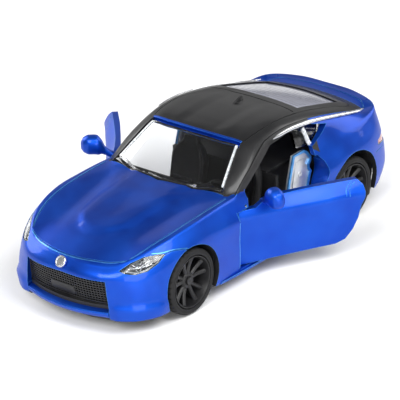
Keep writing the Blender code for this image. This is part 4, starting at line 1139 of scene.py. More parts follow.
def headlamps():
    facing = Vector(HEADLAMP_FACING).normalized()
    across = Vector((0, 0, 1)).cross(facing).normalized()
    up = facing.cross(across)
    turn = Matrix((
        (
            facing.x, across.x, up.x, 0
        ), (facing.y, across.y, up.y, 0), (facing.z, across.z, up.z, 0), (0, 0, 0, 1),
    ))

    def lens():
        cover = kept(hull_mesh(0.12, cuts=4), lamp_prism(shrunk_ring(HEADLAMP, 0.965), HEADLAMP_FACING, 3))
        return cut(cover, hull_mesh(0.6, 6, cuts=3))

    def bowl():
        return kept(hull_mesh(1.9, cuts=3), lamp_prism(shrunk_ring(HEADLAMP, 0.94), HEADLAMP_FACING, 4, 2.6))

    def mask():
        ring = [
            (20.6, -48.6, 20.9), (22.0, -46.6, 21.1), (23.4, -44.9, 20.9), (22.8, -47.4, 18.9),
            (21.9, -47.9, 19.6)
        ]
        cover = kept(hull_mesh(0.95, cuts=3), lamp_prism(shrunk_ring(ring, 0.94), HEADLAMP_FACING, 3))
        return cut(cover, hull_mesh(1.9, 6, cuts=3))

    def rim():
        ring = [Vector(p) for p in HEADLAMP] + [Vector(HEADLAMP[0])]
        spots = []
        for a, b in zip(ring, ring[1:]):
            spots += [skin.nearest(a.lerp(b, k / 5)) for k in range(5)]
        spots.append(skin.nearest(ring[-1]))
        return strip_mesh([(p - n * 0.35, n) for p, n in spots], 0.42, 0.22, 0.9)

    def rays():
        """Raised ribs that fan out across the bowl from behind the bulb."""
        hub = Vector((19.0, -51.0, 17.9)) - facing * 0.55
        parts = []
        for end in (
            (17.4, -52.2, 19.0), (19.6, -49.9, 20.1), (21.6, -47.6, 20.4), (22.0, -48.2, 18.9),
            (17.0, -53.0, 17.9)
        ):
            tip = Vector(end) - facing * 0.5
            parts.append(tube_mesh(smooth_path([hub, hub.lerp(tip, 0.5) - facing * 0.12, tip], 9), 0.16, 8))
        return joined(*parts)

    def bulb():
        dome = [(-0.5, 0), (-0.5, 0.95), (-0.1, 0.93), (0.2, 0.72), (0.4, 0.4), (0.48, 0)]
        return moved(turned_mesh(dome, 32), at(18.9, -51.0, 17.9) @ turn)

    # whitish line along the lens's lower edge: a painted highlight
    def lens_edge_highlight():
        path = [
            Vector(p) - facing * 0.5
            for p in (
                (16.4, -53.7, 17.2), (18.6, -52.6, 16.95), (20.7, -50.4, 17.4), (22.0, -48.2, 18.4),
                (22.6, -46.9, 19.3)
            )
        ]
        return tube_mesh(smooth_path(path, 26), 0.3, 10)

    for side_name, side in SIDES:
        node = f"headlamp_{side_name}"
        place(
            f"lamp_cover_{side_name}", moved(lens(), side), CLEAR, "clear_plastic",
            stands_for=[node + "_lens"]
        )
        place(
            f"lamp_bowl_{side_name}", moved(bowl(), side), LAMP_GREY, "lamp_bowl",
            stands_for=[node + "_reflector"]
        )
    paired("lamp_mask", mask, LAMP_BLACK, "satin_black")
    paired("lamp_rim", rim, LAMP_BLACK, "satin_black")
    paired("lamp_rays", rays, SILVER, "lamp_bowl")
    paired("lamp_dome", bulb, CLEAR, "clear_plastic")
    paired("lamp_strip", lens_edge_highlight, GLASS_EDGE_HIGHLIGHT, "clear_plastic")


def tail_lamps():
    for side_name, side in SIDES:
        lamp = kept(hull_mesh(0.15, cuts=4), prism_mesh(shrunk(TAIL_LAMP, 0.35), "Y", 48.5, 62))
        lamp = cut(lamp, hull_mesh(1.0, 6))
        ribs = []
        for z in (17.9, 18.55, 19.2):
            spots = skin.from_behind([Vector((9.6 + 11.4 * i / 20, z)) for i in range(21)])
            ribs.append(groove(spots, 0.16, 0.4))
        lamp = cut(lamp, *ribs)
        place(
            f"tail_lens_{side_name}", moved(lamp, side), RED, "lamp_red",
            stands_for=[f"tail_lamp_{side_name}"]
        )

    def surround():
        ring = [Vector(p) for p in shrunk(TAIL_LAMP, 0.14)]
        ring.append(ring[0])
        spots = []
        for a, b in zip(ring, ring[1:]):
            for k in range(8):
                p = a.lerp(b, k / 8)
                spots.append(skin.hit((p.x, 90, p.y), (0, -1, 0)) or skin.nearest(Vector((p.x, 48, p.y))))
        spots.append(spots[0])
        return strip_mesh([(p - n * 0.3, n) for p, n in spots], 0.3, 0.22, 1.0)

    paired("tail_surround", surround, LAMP_BLACK, "satin_black")


def tail_details():
    """Black panel between the lamps, blank plate recess, lower diffuser with fins, and red reflectors."""
    band = [Vector((-8.6 + 17.2 * i / 20, 18.6)) for i in range(21)]
    spots = skin.from_behind(band)
    place("tail_band", rounded(strip_mesh(spots, 2.2, 0.12, 0.5), 0.08), LAMP_BLACK, "satin_black")
    plate = [Vector((-4.6 + 9.2 * i / 12, 13.6)) for i in range(13)]
    spots = skin.from_behind(plate)
    place("plate_blank", rounded(strip_mesh(spots, 3.4, 0.1, 0.5), 0.1), SATIN, "satin_black")
    lower = smooth_path([(-17.0, 8.0), (-9.0, 8.1), (0, 8.1), (9.0, 8.1), (17.0, 8.0)], 32)
    spots = skin.from_behind(lower)
    place("diffuser", rounded(strip_mesh(spots, 3.0, 0.25, 0.9), 0.15), SATIN, "satin_black")
    fins = []
    for x in (-6.6, -2.2, 2.2, 6.6):
        path = skin.from_behind([Vector((x, 6.9 + 2.4 * i / 6)) for i in range(7)])
        fins.append(rounded(strip_mesh(path, 0.45, 0.8, 0.4), 0.1))
    place("diffuser_fins", joined(*fins), SATIN, "satin_black")

    def reflector():
        path = skin.from_behind([Vector((13.2 + 4.2 * i / 8, 10.6)) for i in range(9)])
        return rounded(strip_mesh(path, 0.9, 0.14, 0.3), 0.1)

    paired("tail_reflector", reflector, RED, "lamp_red")


def glass():
    """Raised windscreen with the clear liner behind the side windows, and the separate rear glass."""
    outer = hull_mesh(GLASS_TOP, cuts=SKIN_CUTS)
    outer_skin = Skin(outer.copy())
    inner = hull_mesh(GLASS_FOOT, FLOOR_DROP, cuts=3)
    screen = kept(
        outer.copy(), prism_mesh(both_sides(shrunk_half(SCREEN_OUTLINE, 0.3)), "Z", CUT_LOW, CUT_HIGH)
    )
    screen = follow_skin(cut(screen, inner.copy()), outer_skin)
    place("windscreen", screen, CLEAR, "clear_plastic", stands_for=["glazing"], smooth=None)
    # the rear glass's pale colour is a painted reflection
    rear = kept(
        outer.copy(), prism_mesh(both_sides(shrunk_half(TAILGATE_GLASS, 0.6)), "Z", CUT_LOW, CUT_HIGH)
    )
    rear = follow_skin(cut(rear, inner.copy()), outer_skin)
    place("rear_glass", rear, REAR_GLASS_REFLECTION, "clear_plastic", smooth=None)
    wires = []
    for k in range(9):
        y = 27.6 + 1.9 * k
        half = 12.2 - 0.05 * (y - 25)
        spots = outer_skin.from_above([Vector((-half + 2 * half * i / 20, y, 0)) for i in range(21)])
        wires.append(strip_mesh(spots, 0.14, 0.03, 0.1))
    place("heater_lines", joined(*wires), GREY_PLASTIC, "satin_black")
    liner = kept(
        hull_mesh(LINER_TOP, cuts=4),
        prism_mesh(
            [(16.0, 36), (16.4, 27.6), (20.6, 26.6), (30.2, 30.4), (30.2, 34), (24, 36)], "X", -24, 24
        ),
    )
    liner = cut(liner, hull_mesh(LINER_FOOT, FLOOR_DROP), box_mesh((-15.4, 0, 20), (15.4, 50, 45)))
    place("quarter_glass", liner, CLEAR, "clear_plastic")

    # whitish strip along the windscreen's side edge: a painted highlight
    def screen_edge():
        path = [Vector((p[0], p[1], 0)) for p in shrunk_half(SCREEN_OUTLINE, 0.55)]
        side = path[2].lerp(path[3], 0.02), path[3]
        dense = [side[0].lerp(side[1], k / 24) for k in range(25)]
        return strip_mesh(outer_skin.from_above(dense), 0.62, 0.1, 0.6)

    paired("screen_edge", screen_edge, GLASS_EDGE_HIGHLIGHT, "clear_plastic")
    top = [Vector((p[0], p[1], 0)) for p in shrunk_half(SCREEN_OUTLINE, 0.5)][3:]
    along = smooth_path([mirrored(top[0]), mirrored(top[1]), top[2], top[1], top[0]], 40)
    place(
        "screen_top_edge", strip_mesh(outer_skin.from_above(along), 0.3, 0.06, 0.5), CLEAR, "clear_plastic",
    )
    cowl = smooth_path([(-18.4, -14.9), (-10.4, -17.6), (0, -18.75), (10.4, -17.6), (18.4, -14.9)], 40)
    spots = [(p - n * 0.35, n) for p, n in skin.from_above(cowl)]
    place("cowl_strip", rounded(strip_mesh(spots, 0.8, 0.42, 0.3), 0.1), LAMP_BLACK, "satin_black")
    arms = []
    for path in (
        [(-17.6, -13.6), (-13.6, -15.4), (-9.8, -16.9), (-6.6, -17.6)],
        [(-4.8, -17.2), (0.5, -17.9), (6.0, -17.7), (10.6, -16.6)],
    ):
        spots = outer_skin.from_above(smooth_path(path, 22))
        arms.append(strip_mesh(spots, 0.34, 0.42, 0.05))
        arms.append(strip_mesh([(p + n * 0.1, n) for p, n in spots[3:]], 0.62, 0.12, 0.1))
        pivot = spots[-1][0]
        arms.append(moved(rod_mesh(0.42, -0.2, 0.55, 16), Matrix.Translation(pivot) @ UPRIGHT))
    place("wipers", joined(*arms), SILVER, "silver_trim")


def cabin_point(rows, v, w):
    columns = [spline_at([row[c] for row in rows], v) for c in range(len(rows[0]))]
    span = min(int(v), len(CABIN_BELT) - 2)
    belt = CABIN_BELT[span] + (CABIN_BELT[span + 1] - CABIN_BELT[span]) * (v - span)
    points = columns + [level_at(CREST, belt)]
    full = [mirrored(p) for p in reversed(points[1:])] + points
    return spline_at(full, len(points) - 1 + w)


def roof_trims():
    """Bright strips along the roof's edges, rounded on top."""
    rows = [[Vector(p) for p in row] for row in CABIN_ROWS]
    for side_name, side in SIDES:
        rings = []
        stops = subdivided((2.3, 3, 4, 5, 6, 6.7), 8)
        for v in stops:
            edge, below, ahead = (
                cabin_point(rows, *spot) for spot in ((v, 3.02), (v, 3.2), (v + 0.05, 3.02))
            )
            down = (below - edge).normalized()
            out = down.cross(ahead - edge).normalized()
            out *= 1 if out.x > 0 else -1
            slim = min(1.0, 0.25 + 2.2 * (v - stops[0]), 0.25 + 2.2 * (stops[-1] - v))
            middle = edge + down * 0.78
            shape = (
                (-0.5, 0.15), (-0.5, 0.42), (-0.34, 0.56), (0.0, 0.62), (0.34, 0.56), (0.5, 0.42), (0.5, 0.15)
            )
            rings.append([middle + down * (a * 1.05 * slim) + out * b for a, b in shape])
        trim = moved(loft_mesh(rings), side)
        place(
            f"roof_strip_{side_name}", trim, SILVER, "silver_trim", stands_for=[f"roof_trim_{side_name}"],
            smooth=50
        )


# ---------------------------------------------------------------- doors
MIRROR_SIDES = 28


def mirror_mesh():
    """Mirror housing on its curved stalk, rounder in front than behind."""
    sections = [
        (21.6, -4.9, 21.5, 1.4, 1.0), (23.6, -4.9, 22.1, 1.3, 1.0), (25.2, -4.8, 23.2, 1.4, 1.2),
        (26.2, -4.6, 24.4, 2.0, 2.1), (27.4, -4.5, 24.9, 2.5, 2.8), (29.6, -4.4, 25.0, 2.5, 2.8),
        (31.2, -4.2, 24.9, 1.9, 2.1), (31.9, -4.1, 24.8, 0.9, 1.0),
    ]
    lines = [[Vector((s[0], s[1], s[2])) for s in sections], [Vector((s[3], s[4], 0)) for s in sections]]
    rings = []
    for u in subdivided(range(len(sections)), 4):
        middle, half = (spline_at(line, u) for line in lines)
        ring = []
        for a in turns(MIRROR_SIDES):
            c, s = math.cos(a), math.sin(a)
            depth = half.x * math.copysign(abs(c) ** 0.8, c)
            if depth > 0:
                depth *= 0.8
            ring.append(middle + Vector((0, depth, half.y * math.copysign(abs(s) ** 0.85, s))))
        rings.append(ring)
    return loft_mesh(rings)


def doors():
    for side_name, side in SIDES:
        body = side_name + "_door_body"
        turn = door_swing(side_name) @ side
        panel = kept(skin_mesh.copy(), prism_mesh(DOOR_OUTLINE, "X", 15, 30))
        panel = cut(panel, hull_mesh(CASTING, FLOOR_DROP))
        barrel = kept(moved(rod_mesh(1.2, 5.6, 20.7), at(*HINGE, 0) @ UPRIGHT), hull_mesh(0.25, cuts=3))
        panel = cut(united(panel, barrel), moved(rod_mesh(0.6, 3, 23), at(*HINGE, 0) @ UPRIGHT))
        corner = smooth_path([(20.9, 22.6), (19.6, 21.9), (18.9, 20.8), (18.8, 19.4)], 16)
        second = smooth_path([(20.0, 22.9), (18.7, 22.1), (17.9, 20.8), (17.8, 19.6)], 16)
        panel = cut(
            panel, groove(skin.from_left(corner), 0.2, 0.3), groove(skin.from_left(second), 0.14, 0.14)
        )
        follow_skin(panel, skin)
        place(
            f"{side_name}_door_skin", moved(panel, turn), PAINT, "body_paint", body=body,
            stands_for=[side_name + "_door"], smooth=None
        )
        place(f"{side_name}_mirror", moved(mirror_mesh(), turn), PAINT, "body_paint", body=body, smooth=60)
        face = []
        for depth in (0.0, 0.35):
            ring = []
            for a in turns(MIRROR_SIDES):
                c, s = math.cos(a), math.sin(a)
                x = 28.9 + 1.6 * math.copysign(abs(c) ** 0.7, c)
                ring.append((x, -2.98 + depth, 24.95 + 1.5 * math.copysign(abs(s) ** 0.7, s)))
            face.append(ring)
        place(
            f"{side_name}_mirror_glass", moved(rounded(loft_mesh(face), 0.1), turn), CHROME, "silver_trim",
            body=body
        )
        card = kept(prism_mesh(shrunk(DOOR_OUTLINE, 1.3), "X", 15, 30), hull_mesh(1.45, cuts=3))
        card = cut(card, hull_mesh(2.0, 6))
        rest = rounded(
            prism_mesh([(-4.0, 14.0), (13.0, 14.4), (13.4, 15.6), (-4.0, 15.6)], "X", 21.2, 22.9), 0.25
        )
        place(f"{side_name}_door_card", moved(joined(card, rest), turn), LEATHER, "satin_black", body=body)


# ---------------------------------------------------------------- cabin
def seat_mesh(sign):
    """One bucket seat: a cushion and a back with raised bolsters, and a headrest grown from it."""

    def ring(middle, front, half, thick, wing):
        across = Vector((1, 0, 0))
        shape = (
            (-1.0, -0.2), (-1.0, 0.55 + wing), (-0.86, 0.75 + wing), (-0.7, 0.6 + 0.6 * wing), (-0.58, 0.36),
            (-0.3, 0.42), (0, 0.44), (0.3, 0.42), (0.58, 0.36), (0.7, 0.6 + 0.6 * wing), (0.86, 0.75 + wing),
            (1.0, 0.55 + wing), (1.0, -0.2), (0.8, -0.5), (0, -0.55), (-0.8, -0.5),
        )
        return [middle + across * (a * half) + front * (b * thick) for a, b in shape]

    x = sign * 9.5
    parts = []
    base = smooth_path([(x, -6.4, 8.6), (x, -5.9, 9.3), (x, -3.0, 9.2), (x, 1.0, 8.8), (x, 4.6, 8.6)], 14)
    rings = []
    for i, p in enumerate(base):
        t = i / 13
        half = 5.9 * (0.86 + 0.14 * smoothstep(0, 0.3, t))
        thick = 2.4 * (0.55 + 0.45 * smoothstep(0, 0.25, t))
        rings.append(ring(p, Vector((0, 0, 1)), half, thick, 0.35 * smoothstep(0.05, 0.4, t)))
    parts.append(loft_mesh(rings))
    back = smooth_path(
        [(x, 4.6, 9.4), (x, 5.6, 13.0), (x, 6.6, 18.0), (x, 7.3, 22.2), (x, 7.7, 24.6), (x, 7.9, 27.2)], 24
    )
    rings = []
    for i, p in enumerate(back):
        t = i / 23
        half = 5.9 - 1.4 * smoothstep(0.5, 0.78, t) - 1.8 * smoothstep(0.76, 0.88, t)
        thick = 2.0 - 0.7 * smoothstep(0.8, 1.0, t)
        wing = 0.5 * smoothstep(0.0, 0.2, t) * smoothstep(0.78, 0.6, t)
        ahead = (back[min(i + 1, 23)] - back[max(i - 1, 0)]).normalized()
        front = Vector((1, 0, 0)).cross(ahead).normalized()
        front = front if front.y < 0 else -front
        rings.append(ring(p, front, half, thick, wing))
    parts.append(loft_mesh(rings))
    return joined(*parts)


def cabin():
    floor = rounded(box_mesh((-18.6, -15.6, 5.4), (18.6, 10.3, 6.5)), 0.3)
    dash = [
        (-15.6, 5.9), (-15.8, 23.0), (-14.2, 23.35), (-12.4, 23.3), (-10.4, 23.0), (-9.3, 22.4), (-8.7, 21.2),
        (-9.2, 19.6), (-10.8, 17.2), (-11.4, 5.9),
    ]
    parts = [
        floor,
        rounded(prism_mesh(dash, "X", -18.4, 18.4), 0.35),
        rounded(prism_mesh([(9.1, 5.9), (10.4, 5.9), (10.4, 21.4), (9.1, 21.4)], "X", -18.2, 18.2), 0.2),
        rounded(
            prism_mesh(
                [(9.3, 20.9), (40.5, 20.9), (44.6, 22.0), (44.6, 23.0), (40.0, 21.9), (9.3, 21.9)], "X",
                -14.8, 14.8
            ),
            0.2,
        ),
        rounded(
            prism_mesh(
                [(-11.2, 6.1), (9.4, 6.1), (9.4, 12.0), (2.0, 11.0), (-11.2, 12.4)], "X", -2.0, 2.0
            ), 0.4,
        ),
    ]
    hood = [[(x, y, z) for y, z in ring] for x, ring in (
        (4.9, [(-9.4, 22.0), (-12.6, 22.8), (-12.6, 21.5), (-9.4, 21.2)]),
        (6.6, [(-8.5, 22.9), (-12.8, 23.9), (-12.8, 21.0), (-8.8, 21.4)]),
        (9.6, [(-8.2, 23.3), (-12.9, 24.3), (-12.9, 21.0), (-8.6, 21.4)]),
        (12.6, [(-8.5, 22.9), (-12.8, 23.9), (-12.8, 21.0), (-8.8, 21.4)]),
        (14.3, [(-9.4, 22.0), (-12.6, 22.8), (-12.6, 21.5), (-9.4, 21.2)]),
    )]
    parts.append(rounded(loft_mesh(hood), 0.3))
    for x in (-14.8, -2.2, 2.2, 15.2):
        vent = [(-0.1, 0), (-0.1, 1.25), (0.45, 1.25), (0.45, 1.05), (0.1, 0.95), (0.1, 0)]
        parts.append(
            moved(
                turned_mesh(vent, 24),
                at(x, -9.0, 20.6) @ Matrix.Rotation(math.radians(25), 4, "X") @ LENGTHWISE
            )
        )
    parts.append(rounded(box_mesh((-3.6, -9.6, 20.9), (3.6, -9.0, 23.6)), 0.15))
    lever = smooth_path([(0, -1.0, 11.4), (0, -1.3, 13.0), (0, -1.2, 14.6)], 8)
    parts.append(tube_mesh(lever, 0.3, 10))
    knob = [(-0.7, 0), (-0.6, 0.45), (0, 0.72), (0.5, 0.55), (0.7, 0)]
    parts.append(moved(turned_mesh(knob, 18), at(0, -1.2, 15.0) @ UPRIGHT))
    parts.append(rounded(box_mesh((1.0, 2.2, 11.6), (1.7, 6.4, 12.7)), 0.2))
    place("cabin_moulding", joined(*parts), LEATHER, "satin_black", stands_for=["interior_tub"])
    for sign, side_name in ((1, "left"), (-1, "right")):
        seat = place(f"seat_{side_name}", seat_mesh(sign), LEATHER, "satin_black", smooth=None)
        seat.data.shade_smooth()
        refine = seat.modifiers.new("refine", "SUBSURF")
        refine.levels = 1
        refine.render_levels = 1
    rim = [(0.5 * math.cos(a), 3.45 + 0.5 * math.sin(a)) for a in turns(14)]
    lean = at(9.6, -6.4, 19.6) @ Matrix.Rotation(math.radians(-24), 4, "X") @ LENGTHWISE
    wheel = [
        moved(turned_mesh(rim, 56), lean),
        moved(rounded(box_mesh((-0.35, -3.3, -0.55), (0.3, 3.3, 0.45)), 0.15), lean),
        moved(rounded(box_mesh((-0.35, -0.6, -3.3), (0.3, 0.6, 0)), 0.15), lean),
        moved(
            turned_mesh([(-1.5, 0), (-1.5, 0.9), (-0.3, 1.3), (0.35, 1.2), (0.6, 0.7), (0.65, 0)], 28), lean
        ),
    ]
    place("wheel_rim", joined(*wheel), SATIN, "satin_black", stands_for=["steering_wheel"])


def jamb_panels():
    """Silver panel behind each door opening, with a half-round notch and a pale border line that is a painted
    highlight.
    """
    outline = [
        (12.4, 6.9), (17.2, 8.6), (
            20.4, 13.0
        ), (21.6, 17.0), (22.3, 18.6), (21.5, 19.6), (21.4, 20.8), (22.2, 21.8),
        (22.4, 22.6), (20.6, 24.8), (19.4, 25.6), (15.0, 25.6), (12.6, 18.0), (11.6, 12.0),
    ]
    ring = [Vector((p[0], p[1])) for p in outline]
    for side_name, side in SIDES:
        panel = rounded(prism_mesh(outline, "X", 18.9, 19.9), 0.2)
        rib = [
            (14.6, 11.0), (18.4, 12.6), (20.0, 17.2), (20.4, 20.0), (19.2, 23.6), (15.8, 23.4), (14.0, 17.0)
        ]
        rib = rounded(prism_mesh(rib, "X", 19.7, 20.25), 0.25)
        boss = [(19.6, 0), (19.6, 1.0), (20.4, 0.9), (20.5, 0.55), (20.3, 0)]
        boss = moved(turned_mesh(boss, 24), at(0, 17.4, 19.4))
        panel = joined(panel, rib, boss)
        node = f"side_panel_{side_name}"
        place(f"jamb_panel_{side_name}", moved(panel, side), JAMB_SILVER, "panel_silver", stands_for=[node])
        # the pale border round the opening is a painted highlight
        spots = [(Vector((19.95, p.x, p.y)), Vector((1, 0, 0))) for p in ring + ring[:1]]
        border = strip_mesh(spots, 0.8, 0.3, 0.2)
        place(f"jamb_border_{side_name}", moved(border, side), EDGE_HIGHLIGHT_PAINT, "body_paint")

    # clear B-pillar strip whose whitish colour is a painted highlight
    def pillar_strip():
        path = smooth_path([(20.4, 32.7), (20.7, 30.2), (21.3, 27.8), (22.6, 25.9)], 18)
        return strip_mesh([(p - n * 1.2, n) for p, n in skin.from_left(path)], 1.1, 0.2, 0.35)

    paired("pillar_strip", pillar_strip, GLASS_EDGE_HIGHLIGHT, "clear_plastic")


# ---------------------------------------------------------------- wheels
SPOKE_PAIRS = 5
SPOKE_STEPS = 8
SPOKE_FOOT = 1.7
SPOKE_REACH = 5.1
TREAD_CUTS = 36
TYRE_SEGMENTS = 96


def tyre_mesh():
    """Tyre with rounded shoulders, rings on the wall and grooves round the tread."""
    tread = []
    for x in (23.9, 23.3, 22.5, 21.6, 20.8, 20.0, 19.2, 18.6):
        tread += [(x, 9.28)]
        if x in (23.3, 21.6, 20.0):
            tread += [(x - 0.02, 9.0), (x - 0.22, 9.0), (x - 0.24, 9.28)]
    profile = [
        (17.6, 7.5), (24.5, 7.5), (
            24.78, 7.62
        ), (24.9, 7.85), (24.92, 8.15), (24.84, 8.2), (24.84, 8.3), (24.9, 8.36),
        (24.82, 8.7), (24.62, 9.0), (24.3, 9.2),
    ] + tread + [(18.2, 9.2), (17.8, 8.9), (17.6, 8.5)]
    return turned_mesh(profile, TYRE_SEGMENTS)


def tread_blocks():
    """Slanted cuts across the tyre's outer shoulder."""
    cuts = []
    for k in range(TREAD_CUTS):
        tool = box_mesh((-1.0, -0.12, 8.95), (1.2, 0.12, 9.6))
        lean = Matrix.Rotation(
            math.radians(360 / TREAD_CUTS * k), 4, "X"
        ) @ at(24.2, 0, 0) @ Matrix.Rotation(math.radians(20), 4, "Z")
        cuts.append(moved(tool, lean))
    return joined(*cuts)


def rim_mesh():
    """Dished barrel, five pairs of spokes that fork towards the rim, centre cap and nuts."""
    barrel = [
        (18.0, 6.3), (18.0, 7.3), (24.6, 7.3), (
            24.75, 7.2
        ), (24.7, 7.0), (24.3, 6.86), (23.6, 6.7), (22.4, 6.45), (19.0, 6.3),
    ]
    parts = [turned_mesh(barrel, 72)]
    hub = [(19.6, 1.15), (23.1, 1.15), (23.3, 1.3), (23.25, 1.9), (22.9, 2.3), (21.4, 2.5), (19.6, 2.4)]
    parts.append(turned_mesh(hub, 48))
    cap = [(22.6, 0), (22.6, 1.25), (23.75, 1.2), (23.95, 0.95), (23.85, 0.6), (23.95, 0.3), (24.0, 0)]
    parts.append(turned_mesh(cap, 36))
    for k in range(SPOKE_PAIRS):
        turn = Matrix.Rotation(2 * math.pi * k / SPOKE_PAIRS, 4, "X")
        for sign in (-1, 1):
            rings = []
            for t in range(SPOKE_STEPS + 1):
                s = t / SPOKE_STEPS
                radius = SPOKE_FOOT + SPOKE_REACH * s
                middle = sign * (0.4 + 1.55 * s**1.15)
                half = 0.62 + 0.12 * s**3
                face = 23.0 + 0.85 * s - 0.3 * math.sin(math.pi * s)
                deep = face - 1.8
                rings.append([
                    (deep, middle - half * 0.7, radius), (face - 0.35, middle - half, radius),
                    (face, middle - half * 0.5, radius), (face, middle + half * 0.5, radius),
                    (face - 0.35, middle + half, radius), (deep, middle + half * 0.7, radius),
                ])
            parts.append(moved(loft_mesh(rings), turn))
        nut_turn = Matrix.Rotation(2 * math.pi * (k + 0.5) / SPOKE_PAIRS, 4, "X")
        nut = [(22.6, 0), (22.6, 0.3), (23.35, 0.28), (23.4, 0)]
        parts.append(moved(turned_mesh(nut, 6), nut_turn @ at(0, 0, 1.75)))
    return joined(*parts)


def brake_mesh():
    """Plain disc seen between the spokes."""
    return turned_mesh([(20.0, 1.2), (20.0, 4.9), (20.5, 4.9), (20.5, 1.2)], 48)


def wheels():
    tyre = cut(tyre_mesh(), tread_blocks())
    for axle in ("front", "rear"):
        low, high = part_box(f"{axle}_axle")
        middle = CAR.inverted() @ ((low + high) / 2)
        body = f"{axle}_wheels"
        for side_name, side in SIDES:
            turn = at(0, middle.y, middle.z) @ side
            place(
                f"{axle}_wheel_tyre_{side_name}", moved(tyre.copy(), turn), RUBBER, "tyre_rubber", body=body,
                stands_for=[f"{axle}_tyre_{side_name}"],
            )
            place(
                f"{axle}_wheel_rim_{side_name}", moved(
                    rim_mesh(), turn
                ), WHEEL_BLACK, "satin_black", body=body,
                stands_for=[f"{axle}_rim_{side_name}"],
            )
            place(f"{axle}_disc_{side_name}", moved(brake_mesh(), turn), SATIN, "satin_black", body=body)


# ---------------------------------------------------------------- sills
def sills():
    """Blade under each door, from the front wheel to the rear one, with a bright upper edge line that is a
    painted highlight.
    """
    def blade():
        path = smooth_path(
            [
                (-24.3, 4.45, 0.5), (-18.0, 4.35, 0.75), (-5.0, 4.3, 0.8), (10.0, 4.35, 0.75),
                (20.0, 4.7, 0.45)
            ],
            30
        )
        rings = []
        for y, z, reach in (tuple(p) for p in path):
            rings.append([
                (23.6, y, z + 0.1), (24.4, y, z + 0.12), (24.4 + reach, y, z), (24.5 + reach, y, z - 0.3),
                (24.3 + reach, y, z - 0.7), (23.6, y, z - 0.9),
            ])
        return loft_mesh(rings)

    def line():
        path = smooth_path(
            [
                (25.0, -24.0, 4.42), (25.2, -18.0, 4.38), (25.25, -5.0, 4.33), (25.2, 10.0, 4.38),
                (25.0, 18.0, 4.6)
            ],
            30
        )
        return tube_mesh(path, 0.1, 6)

    paired("sill_blade", blade, PAINT, "body_paint")
    # the bright line along the blade's top is a painted highlight
    paired("sill_line", line, EDGE_HIGHLIGHT_PAINT, "body_paint")


# ---------------------------------------------------------------- pieces kept from the frame
KEPT_LOOKS = {
    "chassis_base": SATIN,
    "front_screw": STEEL,
    "rear_screw": STEEL,
    "exhaust_tip_left": CHROME,
    "exhaust_tip_right": CHROME,
    "left_hinge_pin": STEEL,
    "right_hinge_pin": STEEL,
    "front_axle": STEEL,
    "rear_axle": STEEL,
    "motor_case_left": GREY_PLASTIC,
    "motor_case_right": GREY_PLASTIC,
    "axle_pinion": NYLON,
    "idler_gear": NYLON,
    "drum_gear": NYLON,
    "mainspring": STEEL,
}


def dress_kept_nodes():
    for node, look in KEPT_LOOKS.items():
        for slot in frame["nodes"][node].material_slots:
            slot.material = look


# ---------------------------------------------------------------- stage
def stage():
    bm = bmesh.new()
    bmesh.ops.create_grid(bm, x_segments=8, y_segments=8, size=6.0)
    floor = bpy.data.objects.new("floor", mesh_from(bm))
    floor.location.z = -0.0002
    bpy.context.scene.collection.objects.link(floor)
    floor.data.materials.append(
        finish_look(
            "floor_paper", (0.9, 0.9, 0.9), (0.93, 0.93, 0.93), (0.85, 0.95), mottle=300, fine=1.0, bump=0.01
        )
    )


def soft_light(name, place_at, target, size, energy, size_y=None):
    data = bpy.data.lights.new(name, "AREA")
    data.shape = "RECTANGLE"
    data.size = size
    data.size_y = size_y or size
    data.energy = energy
    lamp = bpy.data.objects.new(name, data)
    bpy.context.scene.collection.objects.link(lamp)
    lamp.location = place_at
    lamp.rotation_euler = (Vector(target) - Vector(place_at)).to_track_quat("-Z", "Y").to_euler()


WORLD_STRENGTH = 0.15
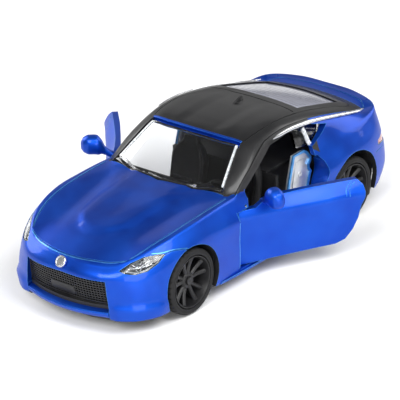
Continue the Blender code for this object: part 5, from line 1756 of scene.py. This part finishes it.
# name, place (m), aim (m), width (m), power (W) and, where it isn't square, height (m)
SOFTBOXES = (
    ("back_softbox", (0.35, 1.2, 0.7), (0, 0, 0.02), 0.8, 7.0),
    ("back_left_softbox", (-0.8, 0.95, 0.55), (0, 0, 0.02), 1.1, 0.9, 0.6),
    ("left_softbox", (-1.2, 0.0, 0.6), (0, 0, 0.02), 0.7, 9.0),
    ("front_softbox", (0.3, -1.2, 1.0), (0, 0, 0.02), 0.7, 18.0),
    ("right_softbox", (1.0, -0.75, 0.3), (0, 0, 0.02), 0.7, 6.0, 0.5),
    ("floor_softbox", (0.30, -0.05, 0.34), (0.1, -0.02, 0), 0.3, 1.4, 0.25),
    ("door_softbox", (0.62, -0.02, 0.78), (0.03, 0, 0.02), 0.3, 0.8),
)


def lighting():
    world = bpy.data.worlds.new("studio")
    bpy.context.scene.world = world
    world.use_nodes = True
    world.node_tree.nodes["Background"].inputs["Color"].default_value = (1, 1, 1, 1)
    world.node_tree.nodes["Background"].inputs["Strength"].default_value = WORLD_STRENGTH
    for setup in SOFTBOXES:
        soft_light(*setup)
    bpy.context.scene.view_settings.view_transform = "Standard"


# ---------------------------------------------------------------- camera
CAMERA_AZIMUTH = 39.616
CAMERA_ELEVATION = 25.26
CAMERA_DISTANCE = 967.89
CAMERA_TARGET = (-1.452, 0, 12.43)
CAMERA_ROLL = -2.051
LENS_MM = 315


def camera():
    az = math.radians(CAMERA_AZIMUTH)
    el = math.radians(CAMERA_ELEVATION)
    roll = math.radians(CAMERA_ROLL)
    away = Vector((math.sin(az) * math.cos(el), -math.cos(az) * math.cos(el), math.sin(el)))
    right = Vector((math.cos(az), math.sin(az), 0))
    up = away.cross(right)
    tilted_right = right * math.cos(roll) + up * math.sin(roll)
    tilted_up = up * math.cos(roll) - right * math.sin(roll)
    data = bpy.data.cameras.new("camera")
    data.lens = LENS_MM
    data.sensor_width = 36
    data.clip_start = 0.05
    data.clip_end = 50
    eye = bpy.data.objects.new("camera", data)
    bpy.context.scene.collection.objects.link(eye)
    middle = CAR @ (Vector(CAMERA_TARGET) + away * CAMERA_DISTANCE)
    turn = Matrix((tilted_right, tilted_up, away)).transposed().to_4x4()
    eye.matrix_world = Matrix.Translation(middle) @ turn
    bpy.context.scene.camera = eye


camera()
stage()
lighting()
body_shell()
edge_lines()
roof()
header_strip()
nose_lip()
grille()
badge()
headlamps()
tail_lamps()
tail_details()
glass()
roof_trims()
doors()
cabin()
jamb_panels()
sills()
wheels()
dress_kept_nodes()
